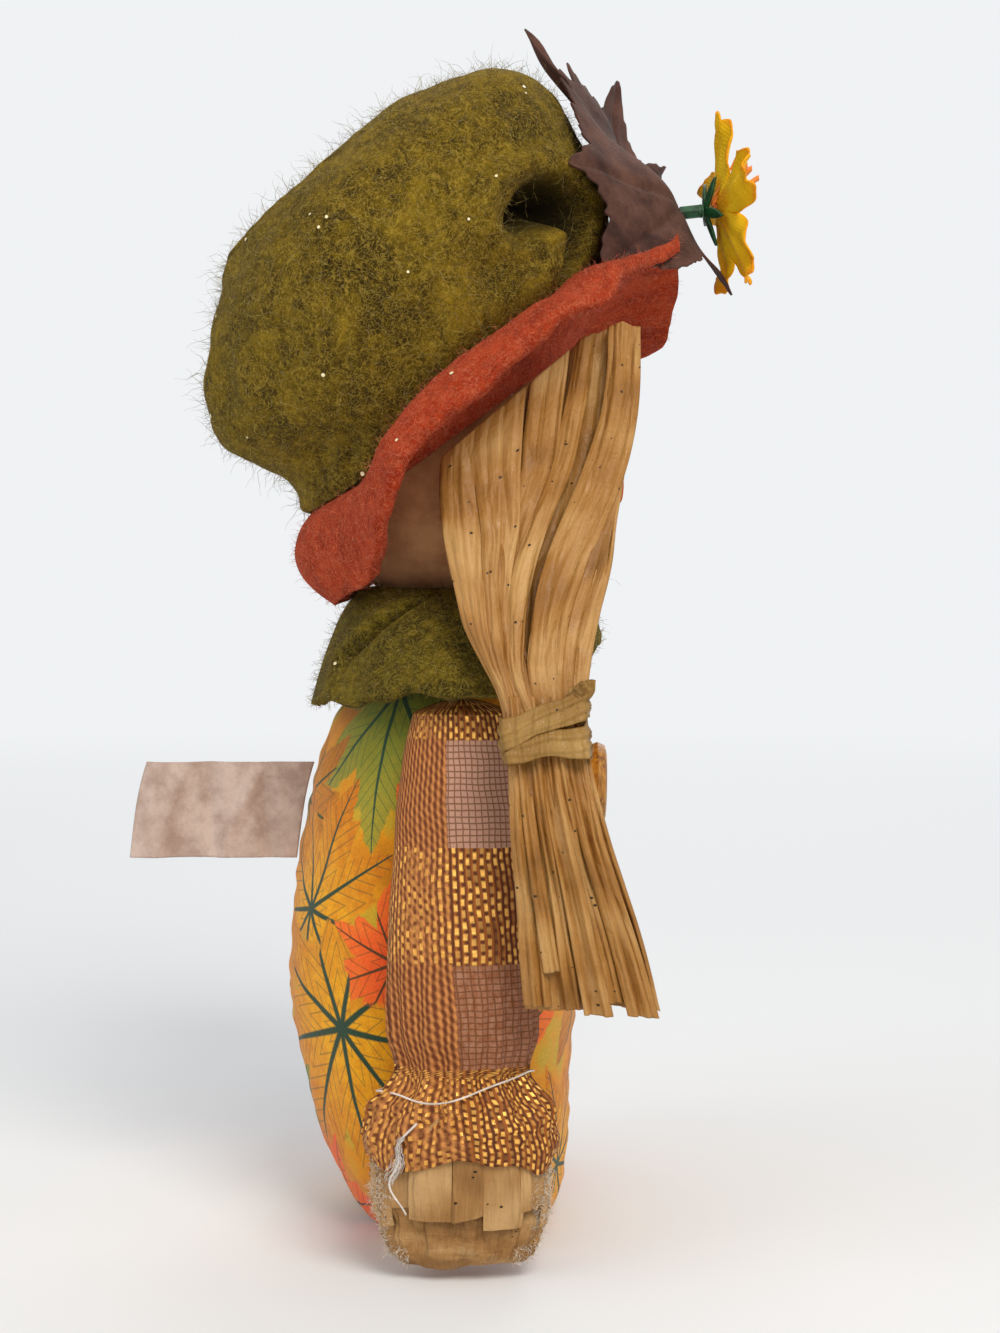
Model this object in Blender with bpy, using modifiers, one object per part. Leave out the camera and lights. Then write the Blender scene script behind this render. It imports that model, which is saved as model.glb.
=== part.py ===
"""Harvest doll with corn husk hair, about 200 mm tall.

A stuffed cotton body stands on a weighted base. Raffia arms in woven ribbon sleeves hang from
the shoulders, raffia bunches hang from under a felt hat, and a felt leaf and flower trim the hat.
Metres, +Z up. The doll faces -Y, its right hand is at -X, and the origin is the centre of its base.
"""

import math

import bmesh
import bpy
import numpy as np
from mathutils import Matrix, Vector

# Clearance between pieces that touch, and the overrun of every cutter
FIT = 0.0003
OVERRUN = 0.002
MERGE = 0.00002

# Body: a cotton skin in two halves, filling above a bag of pellets, and a flat base
BODY_HEIGHT = 0.096
BODY_HALF_WIDTH = 0.033
BODY_HALF_DEPTH = 0.0255
BODY_LEAN = 0.0038
SKIN = 0.0006
SEAM_GAP = 0.0004
BASE_THICKNESS = 0.0012
BASE_LIFT = 0.0003
PELLET_HEIGHT = 0.013
BODY_STEPS = 24
BODY_RINGS = 13
# height, width, depth and backward lean of the stuffed body, each a share of its own size
BODY_SHARES = (
    (0.00, 0.76, 0.60, -0.12),
    (0.03, 0.85, 0.70, 0.05),
    (0.10, 0.94, 0.80, 0.35),
    (0.21, 0.98, 0.88, 0.76),
    (0.41, 1.00, 0.98, 1.12),
    (0.64, 0.98, 0.95, 0.83),
    (0.81, 0.91, 0.90, 0.38),
    (0.91, 0.79, 0.81, -0.05),
)
SHOULDER_HEIGHT_SHARE = 0.965
SHOULDER_WIDTH_SHARE = 0.62
SHOULDER_DEPTH_SHARE = 0.68

# Head: a ball under a cloth cover whose neck is tucked into the body
HEAD_RADIUS = 0.0255
HEAD_RISE = 0.0325
HEAD_HEIGHT = BODY_HEIGHT + HEAD_RISE
HEAD_FORWARD = 0.002
COVER = 0.0005
NECK_RADIUS = 0.0100
NECK_TUCK = 0.0095
NECK_FOOT = BODY_HEIGHT - NECK_TUCK
HEAD_STEPS = 22
HEAD_RINGS = 10

# Face: two beads, a felt nose and a stitched mouth
EYE_RADIUS = 0.0019
EYE_HEIGHT = 0.0016
EYE_SPREAD = 24.0
EYE_RISE = 7.0
NOSE_HEIGHT = 0.0062
NOSE_HALF_WIDTH = 0.0030
NOSE_THICKNESS = 0.0010
NOSE_DROP = 5.0
MOUTH_THREAD = 0.00035
MOUTH_SPREAD = 22.0
MOUTH_DROP = 27.0
MOUTH_SMILE = 8.0
MOUTH_STEPS = 10

# Collar: a fluted felt cape from under the chin to over the shoulders
COLLAR_FELT = 0.0015
COLLAR_RISE = 0.0112
COLLAR_TOP = BODY_HEIGHT + COLLAR_RISE
COLLAR_HALF_WIDTH = 0.0405
COLLAR_HALF_DEPTH = 0.0244
COLLAR_SIDE_DROP = 0.0142
COLLAR_FRONT_DROP = 0.0087
COLLAR_BACK_DROP = 0.0192
COLLAR_BULGE_SHARE = 0.68
COLLAR_WAVE = 0.0018
COLLAR_FLUTES = 7
COLLAR_STEPS = 42
COLLAR_RINGS = 5

# Hat: worn tilted back, so its own frame leans by this angle about the head's centre
HAT_TILT = 40.0
HAT_SEAT = 0.005
BRIM_FELT = 0.0018
BRIM_LENGTH = 0.0290
BRIM_STEPS = 42
BRIM_RINGS = 6
BRIM_WAVE = 9.0
BRIM_WAVES = 7
# the hat sits this much higher up the head at the back than at the front
BRIM_LIFT = 0.0060
BRIM_LIFT_BLEND = 3
# turn from the front in degrees, cut length as a share of the longest, first and last slope
BRIM_SHARES = (
    (0, 1.00, 22, -20),
    (25, 0.97, 30, -40),
    (48, 0.95, 42, -42),
    (90, 0.80, 50, -40),
    (120, 0.74, 8, -72),
    (150, 0.68, 0, -110),
    (180, 0.70, -14, -134),
)
CROWN_FELT = 0.0018
CROWN_HEIGHT = 0.0505
CROWN_HALF_WIDTH = 0.0365
CROWN_HALF_LENGTH = 0.0406
CROWN_FORWARD = 0.0120
CROWN_STEPS = 30
CROWN_RINGS = 13
# height, width, length and forward shift of the stuffed crown, each a share of its own size
CROWN_SHARES = (
    (0.060, 0.790, 0.760, 0.27),
    (0.130, 0.880, 0.838, 0.66),
    (0.232, 0.945, 0.887, 0.88),
    (0.348, 0.985, 0.948, 0.86),
    (0.504, 1.000, 1.000, 0.87),
    (0.679, 0.970, 0.970, 1.11),
    (0.815, 0.860, 0.844, 1.37),
    (0.893, 0.720, 0.725, 1.37),
    (0.951, 0.545, 0.586, 1.18),
    (0.987, 0.310, 0.370, 1.02),
)
# how soon above its foot the crown loses the shape of the brim below it
CROWN_SETTLE = 6
CROWN_GATHERS = 9
CROWN_GATHER_SHARE = 0.018
TUCK_ANGLE = -50.0
TUCK_SPREAD = 15.0
TUCK_HEIGHT_SHARE = 0.34
TUCK_REACH_SHARE = 0.12
TUCK_DEPTH_SHARE = 0.15

# Leaf: stiffened cloth cut as a maple leaf, standing on the brim's front against the crown
LEAF_LENGTH = 0.0400
LEAF_CLOTH = 0.0004
LEAF_STAND = 0.0007
LEAF_ROOT_HEIGHT = 0.0065
LEAF_BEND_RADIUS = 0.0280
LEAF_STEPS = 54
LEAF_RINGS = 4
# angle from the tip in degrees, and reach as a share of the leaf's length, over one half
LEAF_SHARES = (
    (0, 1.00),
    (5, 0.80),
    (12, 0.70),
    (15, 0.78),
    (20, 0.60),
    (28, 0.46),
    (36, 0.54),
    (42, 0.74),
    (47, 0.88),
    (53, 0.74),
    (60, 0.64),
    (67, 0.60),
    (75, 0.70),
    (81, 0.78),
    (88, 0.60),
    (96, 0.46),
    (106, 0.40),
    (124, 0.28),
    (140, 0.24),
    (160, 0.20),
    (180, 0.44),
)

# Flower: five cloth petals with a calyx behind and stamens in front
PETAL_LENGTH = 0.0165
PETAL_CLOTH = 0.0004
PETAL_CUP = 0.0050
PETALS = 5
PETAL_STEPS = 50
PETAL_RINGS = 4
PETAL_NECK_SHARE = 0.42
PETAL_BLUNTNESS = 0.6
FLOWER_NOD = 34.0
FLOWER_STEM = 0.0032
FLOWER_HOLE = 0.0012
SEPAL_LENGTH = 0.0062
SEPAL_THICKNESS = 0.0007
SEPALS = 5
STAMEN_LENGTH = 0.0056
STAMEN_RADIUS = 0.0005
STAMEN_TIP_RADIUS = 0.0007
STAMENS = 5
STAMEN_RING = 0.0009
STAMEN_SEAT = 0.0012
STAMEN_LEAN = 24.0

# Hair: two layers of folded raffia strips on each side, drawn in by a raffia tie
HAIR_FOOT = 0.0435
STRIP_COLUMNS = 3
STRIP_LAYERS = 2
STRIP_FOLDS = 4
STRIP_STEPS = 10
STRIP_THICKNESS = 0.0010
STRIP_WIDTH = 0.0100
STRIP_FILL_SHARE = 0.93
STRIP_RISE = 0.0011
HAIR_WIDTH = 0.0290
CUT_STAGGER = 0.0026
# how much shorter each strip is cut, in the order of the strips
CUT_SHARES = (0.0, 1.0, 0.33, 0.0, 0.67, 0.33)
HAIR_TOP_DISTANCE = 0.0272
HAIR_CLEAR = 0.0012
# height above the foot as a share of the hair's length, width as a share of its own size
HAIR_WIDTH_SHARES = (
    (0.00, 0.72),
    (0.14, 0.60),
    (0.26, 0.50),
    (0.36, 0.42),
    (0.46, 0.42),
    (0.55, 0.58),
    (0.67, 0.84),
    (0.80, 0.99),
    (1.00, 0.88),
)
HAIR_SWEEP = 0.0215
# the same heights, and how far forward the hair lies as a share of its sweep
HAIR_SWEEP_SHARES = (
    (0.00, 1.00),
    (0.14, 0.88),
    (0.26, 0.77),
    (0.36, 0.69),
    (0.46, 0.65),
    (0.60, 0.60),
    (0.80, 0.62),
    (1.00, 0.72),
)
HAIR_TOP_HEIGHT = HEAD_HEIGHT + HEAD_RADIUS
TIE_HEIGHT_SHARE = 0.42
TIE_WIDTH = 0.0098
TIE_THICKNESS = 0.0008
TIE_STEPS = 24
TIE_SQUARENESS = 0.75
KNOT_HEIGHT = 0.0024
KNOT_FOOT_SHARE = 0.4
KNOT_TURN = math.radians(42)
KNOT_SPREAD = 14.0

# Arms: a raffia core in a ribbon sleeve, gathered at the wrist by a thread
ARM_DROP = 0.0128
ARM_HINGE_HEIGHT = BODY_HEIGHT - ARM_DROP
ARM_HEAD = 0.0073
ARM_TOP = ARM_HINGE_HEIGHT + ARM_HEAD
ARM_GAP = 0.0012
ARM_Y = -0.0014
ARM_HALF_WIDTH = 0.0118
ARM_HALF_THICKNESS = 0.0060
SLEEVE_CLOTH = 0.0006
SLEEVE_FOOT = 0.0200
WRIST_HEIGHT = 0.0320
WRIST_HALF_WIDTH = 0.0106
WRIST_HALF_THICKNESS = 0.0054
CUFF_HALF_WIDTH = 0.0154
CUFF_HALF_THICKNESS = 0.0072
HEM_SHARE = 0.96
SLEEVE_STEPS = 18
SLEEVE_RINGS = 12
# height from wrist to arm top, width and thickness, each a share of its own size
ARM_SHARES = (
    (0.12, 0.96, 1.00),
    (0.30, 0.92, 0.99),
    (0.50, 0.80, 0.95),
    (0.72, 0.68, 0.88),
    (0.86, 0.63, 0.78),
    (0.94, 0.56, 0.62),
    (1.00, 0.36, 0.30),
)
HAND_FOOT = 0.0015
HAND_HALF_WIDTH = 0.0126
HAND_HALF_THICKNESS = 0.0054
HAND_FLUTES = 10
HAND_FLUTE_SHARE = 0.045
CORE_STEPS = 20
# height from foot to cuff, width and thickness of the hand, each a share of its own size
HAND_SHARES = (
    (0.00, 0.74, 0.60),
    (0.10, 0.86, 0.76),
    (0.35, 0.95, 0.94),
    (0.75, 1.00, 1.00),
    (1.00, 0.98, 1.00),
)
THREAD_RADIUS = 0.00028
THREAD_CLEAR = 0.00045
THREAD_TURNS = 2
THREAD_PITCH = 0.0011
THREAD_STEPS = 18
THREAD_START = 1.1
THREAD_DRIFT = 0.35
THREAD_TAIL = 0.0110
STITCH_RADIUS = 0.0005

# Trims: a turned wooden button on the chest, and a bare ribbon tag in the back seam
BUTTON_RADIUS = 0.0074
BUTTON_THICKNESS = 0.0032
BUTTON_RIM = 0.0016
BUTTON_DISH = 0.0008
# inset as a share of the rim's width and height as a share of the thickness, down the edge
BUTTON_EDGE_SHARES = (
    (1.00, 1.0),
    (0.33, 0.9),
    (0.00, 0.5),
    (0.33, 0.1),
    (1.00, 0.0),
)
BUTTON_DROP = 0.0218
BUTTON_HEIGHT = BODY_HEIGHT - BUTTON_DROP
BUTTON_STEPS = 26
BUTTON_HOLE = 0.0009
BUTTON_HOLE_SPREAD = 0.0019
BUTTON_THREAD = 0.0003
TAG_LENGTH = 0.0290
TAG_WIDTH = 0.0168
TAG_THICKNESS = 0.0004
TAG_DROP = 0.0347
TAG_FOOT = BODY_HEIGHT - TAG_DROP
TAG_RIPPLE = 0.0008
TAG_RIPPLES = 2
TAG_STEPS = 10

UP = Vector((0, 0, 1))
HAT_ANGLE = math.radians(HAT_TILT)
HEAD_CENTRE = Vector((0, -HEAD_FORWARD, HEAD_HEIGHT))
HAT_UP_AXIS = Vector((0, math.sin(HAT_ANGLE), math.cos(HAT_ANGLE)))
HAT_CENTRE = HEAD_CENTRE + HAT_UP_AXIS * HAT_SEAT
BRIM_TOP = BRIM_FELT / 2


# Scene, materials and placing


def clear_scene():
    for old in list(bpy.data.objects):
        bpy.data.objects.remove(old, do_unlink=True)


def new_collection(name):
    collection = bpy.data.collections.new(name)
    bpy.context.scene.collection.children.link(collection)
    return collection


def make_finish(name, colour, roughness, metallic=0.0):
    material = bpy.data.materials.new(name)
    material.use_nodes = True
    shader = material.node_tree.nodes["Principled BSDF"]
    shader.inputs["Base Color"].default_value = (*colour, 1.0)
    shader.inputs["Roughness"].default_value = roughness
    shader.inputs["Metallic"].default_value = metallic
    material.diffuse_color = (*colour, 1.0)
    return material


def place(name, data, finish, parent=None):
    """An object of the doll with its finish, in its parent's frame if it has one."""
    thing = bpy.data.objects.new(name, data)
    DOLL.objects.link(thing)
    data.materials.clear()
    data.materials.append(finish)
    thing.parent = parent
    return thing


def cutter(name, mesh, parent):
    """A helper solid for a Boolean, kept out of the doll."""
    helper = bpy.data.objects.new(name, mesh)
    CUTTERS.objects.link(helper)
    helper.parent = parent
    helper.hide_render = True
    helper.display_type = "WIRE"
    return helper


def frame_empty(name, location, rotation=(0, 0, 0), parent=None):
    empty = bpy.data.objects.new(name, None)
    DOLL.objects.link(empty)
    empty.location = location
    empty.rotation_euler = rotation
    empty.parent = parent
    return empty


def mirrored(thing, name):
    """The left-hand twin of a right-hand piece: the same shape reflected in the plane X = 0."""
    data = thing.data.copy()
    data.transform(Matrix.Scale(-1, 4, Vector((1, 0, 0))))
    if thing.type == "MESH":
        data.flip_normals()
    twin = bpy.data.objects.new(name, data)
    DOLL.objects.link(twin)
    for modifier in thing.modifiers:
        if modifier.type == "SOLIDIFY":
            thicken(twin, modifier.thickness, modifier.offset)
    return twin


def thicken(thing, thickness, offset=-1.0):
    """A sheet given its thickness: inwards at offset -1, outwards at 1."""
    shell = thing.modifiers.new("thickness", "SOLIDIFY")
    shell.thickness = thickness
    shell.offset = offset
    return thing


def shade_round(mesh):
    mesh.shade_smooth()
    mesh.set_sharp_from_angle(angle=math.radians(42))


# Meshes through rows of points


def smooth_rows(rows, count):
    """Rows read at even places off one smooth curve through the rows given. The first number is the place."""
    table = np.array(rows, float)
    places = table[:, 0]
    slopes = np.gradient(table, places, axis=0)
    found = []
    for place_now in np.linspace(places[0], places[-1], count):
        i = int(np.clip(np.searchsorted(places, place_now) - 1, 0, len(places) - 2))
        span = places[i + 1] - places[i]
        t = (place_now - places[i]) / span
        found.append(
            (2 * t**3 - 3 * t**2 + 1) * table[i]
            + (t**3 - 2 * t**2 + t) * span * slopes[i]
            + (3 * t**2 - 2 * t**3) * table[i + 1]
            + (t**3 - t**2) * span * slopes[i + 1]
        )
    return found


def read_row(rows, place_now):
    """One row of a table at a place between its rows, along straight lines."""
    table = np.array(rows, float)
    return [float(np.interp(place_now, table[:, 0], column)) for column in table.T[1:]]


def oval(height, half_width, half_depth, centre_y, steps):
    """A level ring, from the front (-Y) round by +X."""
    turns = np.linspace(0, 2 * math.pi, steps, endpoint=False)
    return [
        Vector((half_width * math.sin(a), centre_y - half_depth * math.cos(a), height))
        for a in turns
    ]


def loft(name, rings, closed_round=True, start_cap=None, end_cap=None):
    """A mesh through rings of points. A cap is "flat" or the point of its dome."""
    form = bmesh.new()
    rows = [[form.verts.new(p) for p in ring] for ring in rings]
    steps = len(rings[0])
    for low, high in zip(rows, rows[1:]):
        for k in range(steps if closed_round else steps - 1):
            j = (k + 1) % steps
            form.faces.new((low[k], low[j], high[j], high[k]))
    for cap, row, forward in ((start_cap, rows[0], False), (end_cap, rows[-1], True)):
        if cap is None:
            continue
        ring = row if forward else row[::-1]
        if isinstance(cap, str):
            form.faces.new(ring)
            continue
        tip = form.verts.new(cap)
        for k, vert in enumerate(ring):
            form.faces.new((vert, ring[(k + 1) % steps], tip))
    mesh = bpy.data.meshes.new(name)
    form.to_mesh(mesh)
    form.free()
    shade_round(mesh)
    return mesh


def polar_sheet(reach, steps, inner_radius, shares, shape):
    """A sheet round a hub: reach(turn) gives its edge, shares its rings, and shape(turn, radius) a point."""
    rings = []
    for share in shares:
        ring = []
        for k in range(steps):
            turn = 2 * math.pi * k / steps
            radius = inner_radius + (reach(turn) - inner_radius) * share
            ring.append(shape(turn, radius))
        rings.append(ring)
    return rings


def drawn_in(mesh, depth, floor, ceiling=None):
    """A filling: the surface moved inwards by a depth, cut flat and closed at its floor and ceiling."""
    form = bmesh.new()
    form.from_mesh(mesh)
    form.normal_update()
    moves = [vert.normal * (depth * vert.calc_shell_factor()) for vert in form.verts]
    for vert, move in zip(form.verts, moves):
        vert.co -= move
    for height, out in ((floor, -UP), (ceiling, UP)):
        if height is None:
            continue
        cut = bmesh.ops.bisect_plane(
            form,
            geom=[*form.verts, *form.edges, *form.faces],
            dist=MERGE,
            plane_co=UP * height,
            plane_no=out,
            clear_outer=True,
        )
        rim = [e for e in cut["geom_cut"] if isinstance(e, bmesh.types.BMEdge)]
        bmesh.ops.edgenet_fill(form, edges=rim)
    bmesh.ops.recalc_face_normals(form, faces=form.faces)
    filling = bpy.data.meshes.new("filling")
    form.to_mesh(filling)
    form.free()
    shade_round(filling)
    return filling


def wire(name, run, radius, finish, parent=None):
    """A thread or stalk along a run of points, with closed ends."""
    curve = bpy.data.curves.new(name, "CURVE")
    curve.dimensions = "3D"
    curve.bevel_depth = radius
    curve.bevel_resolution = 1
    curve.use_fill_caps = True
    spline = curve.splines.new("POLY")
    spline.points.add(len(run) - 1)
    for slot, point in zip(spline.points, run):
        slot.co = (*point, 1)
    return place(name, curve, finish, parent)


def turned(name, profile, steps, finish, parent=None):
    """A profile of (radius, height) turned about Z. At +X it runs down the outer side."""
    mesh = bpy.data.meshes.new(name)
    edges = [(k, k + 1) for k in range(len(profile) - 1)]
    mesh.from_pydata([(r, 0, z) for r, z in profile], edges, [])
    thing = place(name, mesh, finish, parent)
    screw = thing.modifiers.new("turning", "SCREW")
    screw.steps = steps
    screw.render_steps = steps
    screw.use_merge_vertices = True
    screw.merge_threshold = MERGE
    screw.use_smooth_shade = True
    return thing


# Body


def body_rows():
    """Height, half width, half depth and centre of the skin's outside, from the base to the neck."""
    rows = [
        (
            max(z * BODY_HEIGHT, BASE_LIFT),
            w * BODY_HALF_WIDTH,
            d * BODY_HALF_DEPTH,
            lean * BODY_LEAN,
        )
        for z, w, d, lean in BODY_SHARES
    ]
    rows.append(
        (
            SHOULDER_HEIGHT_SHARE * BODY_HEIGHT,
            SHOULDER_WIDTH_SHARE * BODY_HALF_WIDTH,
            SHOULDER_DEPTH_SHARE * BODY_HALF_DEPTH,
            -HEAD_FORWARD / 2,
        )
    )
    opening = NECK_RADIUS + SKIN + FIT
    rows.append((BODY_HEIGHT, opening, opening, -HEAD_FORWARD))
    return rows


def body_at(height):
    """Half width, half depth and centre of the skin's outside at a height."""
    return read_row(smooth_rows(body_rows(), BODY_RINGS * 4), height)


def make_body():
    rows = smooth_rows(body_rows(), BODY_RINGS)
    half_steps = BODY_STEPS // 2
    rings = []
    for height, half_width, half_depth, centre in rows:
        turns = np.linspace(math.pi, 0, half_steps + 1)
        rings.append(
            [
                Vector(
                    (
                        -SEAM_GAP / 2 - half_width * math.sin(a),
                        centre - half_depth * math.cos(a),
                        height,
                    )
                )
                for a in turns
            ]
        )
    skin = place("body_panel_right", loft("body_panel", rings, closed_round=False), COTTON)
    thicken(skin, SKIN)
    mirrored(skin, "body_panel_left")

    inset = SKIN + FIT * 2
    base_width, base_depth, base_centre = body_at(BASE_LIFT)
    base_rings = [
        oval(z, base_width - inset, base_depth - inset, base_centre, BODY_STEPS)
        for z in (0, BASE_THICKNESS)
    ]
    place("base_panel", loft("base", base_rings, start_cap="flat", end_cap="flat"), BASE_FELT)

    outside = loft("body", [oval(z, w, d, lean, BODY_STEPS) for z, w, d, lean in rows])
    bag_foot = BASE_THICKNESS + FIT
    bag_top = bag_foot + PELLET_HEIGHT
    bag = drawn_in(outside, SKIN + FIT * 3, bag_foot, bag_top)
    place("pellet_bag", bag, CALICO)
    wadding_top = NECK_FOOT - FIT * 2
    wadding = drawn_in(outside, SKIN + FIT * 3, bag_top + FIT * 2, wadding_top)
    place("body_stuffing", wadding, WADDING)


# Head and face


def head_profile(radius, neck, foot):
    """The cover's outline from its crown down the outer side to the foot of its neck."""
    neck_turn = math.pi - math.asin(neck / radius)
    profile = [
        (radius * math.sin(a), radius * math.cos(a))
        for a in np.linspace(0, neck_turn, HEAD_RINGS)
    ]
    last_radius, last_height = profile[-1]
    profile.append((last_radius, (last_height + foot) / 2))
    profile.append((last_radius, foot))
    return profile


def on_head(azimuth, elevation, lift):
    """A point over the head's surface. Azimuth turns from the front towards -X."""
    a, e = math.radians(azimuth), math.radians(elevation)
    out = Vector((-math.sin(a) * math.cos(e), -math.cos(a) * math.cos(e), math.sin(e)))
    return HEAD_CENTRE + out * (HEAD_RADIUS + lift), out


def make_head():
    foot = NECK_FOOT - HEAD_HEIGHT
    cover = turned("head_cover", head_profile(HEAD_RADIUS, NECK_RADIUS, foot), HEAD_STEPS, MUSLIN)
    cover.location = HEAD_CENTRE
    thicken(cover, COVER)
    core = bmesh.new()
    core_radius = HEAD_RADIUS - COVER - FIT * 2
    bmesh.ops.create_uvsphere(
        core, u_segments=HEAD_STEPS, v_segments=HEAD_RINGS + 1, radius=core_radius
    )
    mesh = bpy.data.meshes.new("head_core")
    core.to_mesh(mesh)
    core.free()
    shade_round(mesh)
    place("head_core", mesh, FOAM).location = HEAD_CENTRE


def make_eye():
    profile = [
        (EYE_RADIUS * math.sin(a), EYE_HEIGHT * math.cos(a))
        for a in np.linspace(0, math.pi / 2, 5)
    ]
    eye = turned("right_eye", [*profile, (0, 0)], 12, BEAD)
    eye.location, out = on_head(EYE_SPREAD, EYE_RISE, FIT)
    eye.rotation_euler = out.to_track_quat("Z", "Y").to_euler()
    return eye


def make_face():
    right = make_eye()
    left = right.copy()
    left.name = "left_eye"
    DOLL.objects.link(left)
    left.location, out = on_head(-EYE_SPREAD, EYE_RISE, FIT)
    left.rotation_euler = out.to_track_quat("Z", "Y").to_euler()

    outline = bpy.data.curves.new("nose", "CURVE")
    outline.dimensions = "2D"
    outline.fill_mode = "BOTH"
    outline.extrude = NOSE_THICKNESS / 2
    spline = outline.splines.new("POLY")
    corners = (
        (0, NOSE_HEIGHT / 2),
        (-NOSE_HALF_WIDTH, -NOSE_HEIGHT / 2),
        (NOSE_HALF_WIDTH, -NOSE_HEIGHT / 2),
    )
    spline.points.add(len(corners) - 1)
    spline.use_cyclic_u = True
    for slot, (x, y) in zip(spline.points, corners):
        slot.co = (x, y, 0, 1)
    nose = place("nose", outline, NOSE_FELT)
    nose.location, out = on_head(0, -NOSE_DROP, FIT + NOSE_THICKNESS / 2)
    nose.rotation_euler = (math.pi / 2 - math.asin(out.z), 0, 0)

    smile = []
    for share in np.linspace(-1, 1, MOUTH_STEPS):
        drop = MOUTH_DROP - MOUTH_SMILE * share**2
        smile.append(on_head(MOUTH_SPREAD * share, -drop, MOUTH_THREAD + FIT)[0])
    wire("mouth_stitch", smile, MOUTH_THREAD, MOUTH_COTTON)


# Collar


def collar_point(turn, share):
    """A point on the collar's underside, from its ring under the chin (0) to its hem (1)."""
    below = HEAD_HEIGHT - COLLAR_TOP - COLLAR_FELT
    chin = math.sqrt(HEAD_RADIUS**2 - below**2) + FIT * 2
    side, ahead = math.sin(turn), math.cos(turn)
    out = share**COLLAR_BULGE_SHARE
    half_width = chin + (COLLAR_HALF_WIDTH - chin) * out
    half_depth = chin + (COLLAR_HALF_DEPTH - chin) * out
    end_drop = COLLAR_FRONT_DROP if ahead > 0 else COLLAR_BACK_DROP
    drop = COLLAR_SIDE_DROP * side**2 + end_drop * ahead**2
    height = COLLAR_TOP - drop * share ** (1 / COLLAR_BULGE_SHARE)
    height += COLLAR_WAVE * share**2 * math.cos(COLLAR_FLUTES * turn)
    y = -HEAD_FORWARD * (1 - share) - half_depth * ahead
    return Vector((half_width * side, y, height))


def make_collar():
    rings = [
        [collar_point(2 * math.pi * k / COLLAR_STEPS, share) for k in range(COLLAR_STEPS)]
        for share in np.linspace(1, 0, COLLAR_RINGS)
    ]
    collar = place("collar", loft("collar", rings), GREEN_FELT)
    thicken(collar, COLLAR_FELT, 1.0)


# Hat, in its own frame: -Y is forwards over the face and +Z is out of the crown


def brim_rings():
    """Rings of the brim's middle surface, from its cut edge in to the head hole."""
    half = smooth_rows(BRIM_SHARES, BRIM_STEPS // 2 + 1)
    spokes = []
    for k in range(BRIM_STEPS):
        row = half[min(k, BRIM_STEPS - k)]
        spokes.append(brim_spoke(2 * math.pi * k / BRIM_STEPS, *row[1:]))
    return [[spoke[ring] for spoke in spokes] for ring in range(BRIM_RINGS, -1, -1)]


def brim_spoke(turn, length_share, first_slope, last_slope):
    """Points out along the felt at one turn. It leaves the hole at one slope and ends at another."""
    out = Vector((math.sin(turn), -math.cos(turn), 0))
    wave = BRIM_WAVE * math.cos(BRIM_WAVES * turn)
    step = BRIM_LENGTH * length_share / BRIM_RINGS
    points = [out * hole_radius(turn) + UP * hat_lift(turn)]
    for k in range(BRIM_RINGS):
        share = (k + 0.5) / BRIM_RINGS
        bend = share * share * (3 - 2 * share)
        slope = math.radians(first_slope + (last_slope + wave - first_slope) * bend)
        points.append(points[-1] + (out * math.cos(slope) + UP * math.sin(slope)) * step)
    return points


def hat_lift(turn):
    """How much higher up the head the hat sits at a turn from the front."""
    return BRIM_LIFT * ((1 - math.cos(turn)) / 2) ** BRIM_LIFT_BLEND


def hole_radius(turn):
    """The head hole follows the round of the head."""
    up_head = HAT_SEAT + hat_lift(turn) - BRIM_FELT / 2
    return math.sqrt(HEAD_RADIUS**2 - up_head**2) + FIT * 2


def crown_foot(turn):
    """The height of the crown's cut edge over the head hole, where it rests on the sloping brim."""
    degrees = abs((math.degrees(turn) + 180) % 360 - 180)
    slope = math.radians(read_row(smooth_rows(BRIM_SHARES, BRIM_STEPS // 2 + 1), degrees)[1])
    rest = max(math.tan(slope), 0) * CROWN_FELT
    return BRIM_FELT / 2 / math.cos(slope) + rest + FIT


def crown_rows():
    """Height, half width, half length and centre of the crown's outside, from brim to top."""
    foot = crown_foot(0)
    opening = hole_radius(0) + CROWN_FELT
    rows = [(foot, opening, opening, 0)]
    rows += [
        (
            foot + z * (CROWN_HEIGHT - foot),
            w * CROWN_HALF_WIDTH,
            d * CROWN_HALF_LENGTH,
            -ahead * CROWN_FORWARD,
        )
        for z, w, d, ahead in CROWN_SHARES
    ]
    return rows


def crown_rings():
    """Rings of the crown's outside, drawn in by its gathers and its tuck."""
    rings = []
    rows = smooth_rows(crown_rows(), CROWN_RINGS)
    for height, half_width, half_length, centre in rows:
        share = height / rows[-1][0]
        ring = []
        for k in range(CROWN_STEPS):
            turn = 2 * math.pi * k / CROWN_STEPS
            off_turn = (turn - math.radians(TUCK_ANGLE) + math.pi) % (2 * math.pi) - math.pi
            across = off_turn / math.radians(TUCK_SPREAD)
            along = (share - TUCK_HEIGHT_SHARE) / TUCK_REACH_SHARE
            draw = 1 - TUCK_DEPTH_SHARE * math.exp(-(across**2) - along**2)
            gather = 1 - math.cos(CROWN_GATHERS * turn)
            draw -= CROWN_GATHER_SHARE * share * (1 - share) * gather
            low = ((rows[-1][0] - height) / (rows[-1][0] - rows[0][0])) ** CROWN_SETTLE
            inward = (hole_radius(0) - hole_radius(turn)) * low
            lift = (hat_lift(turn) + crown_foot(turn) - rows[0][0]) * low
            x = (half_width * draw - inward) * math.sin(turn)
            y = centre - (half_length * draw - inward) * math.cos(turn)
            ring.append(Vector((x, y, height + lift)))
        rings.append(ring)
    return rings


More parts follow.
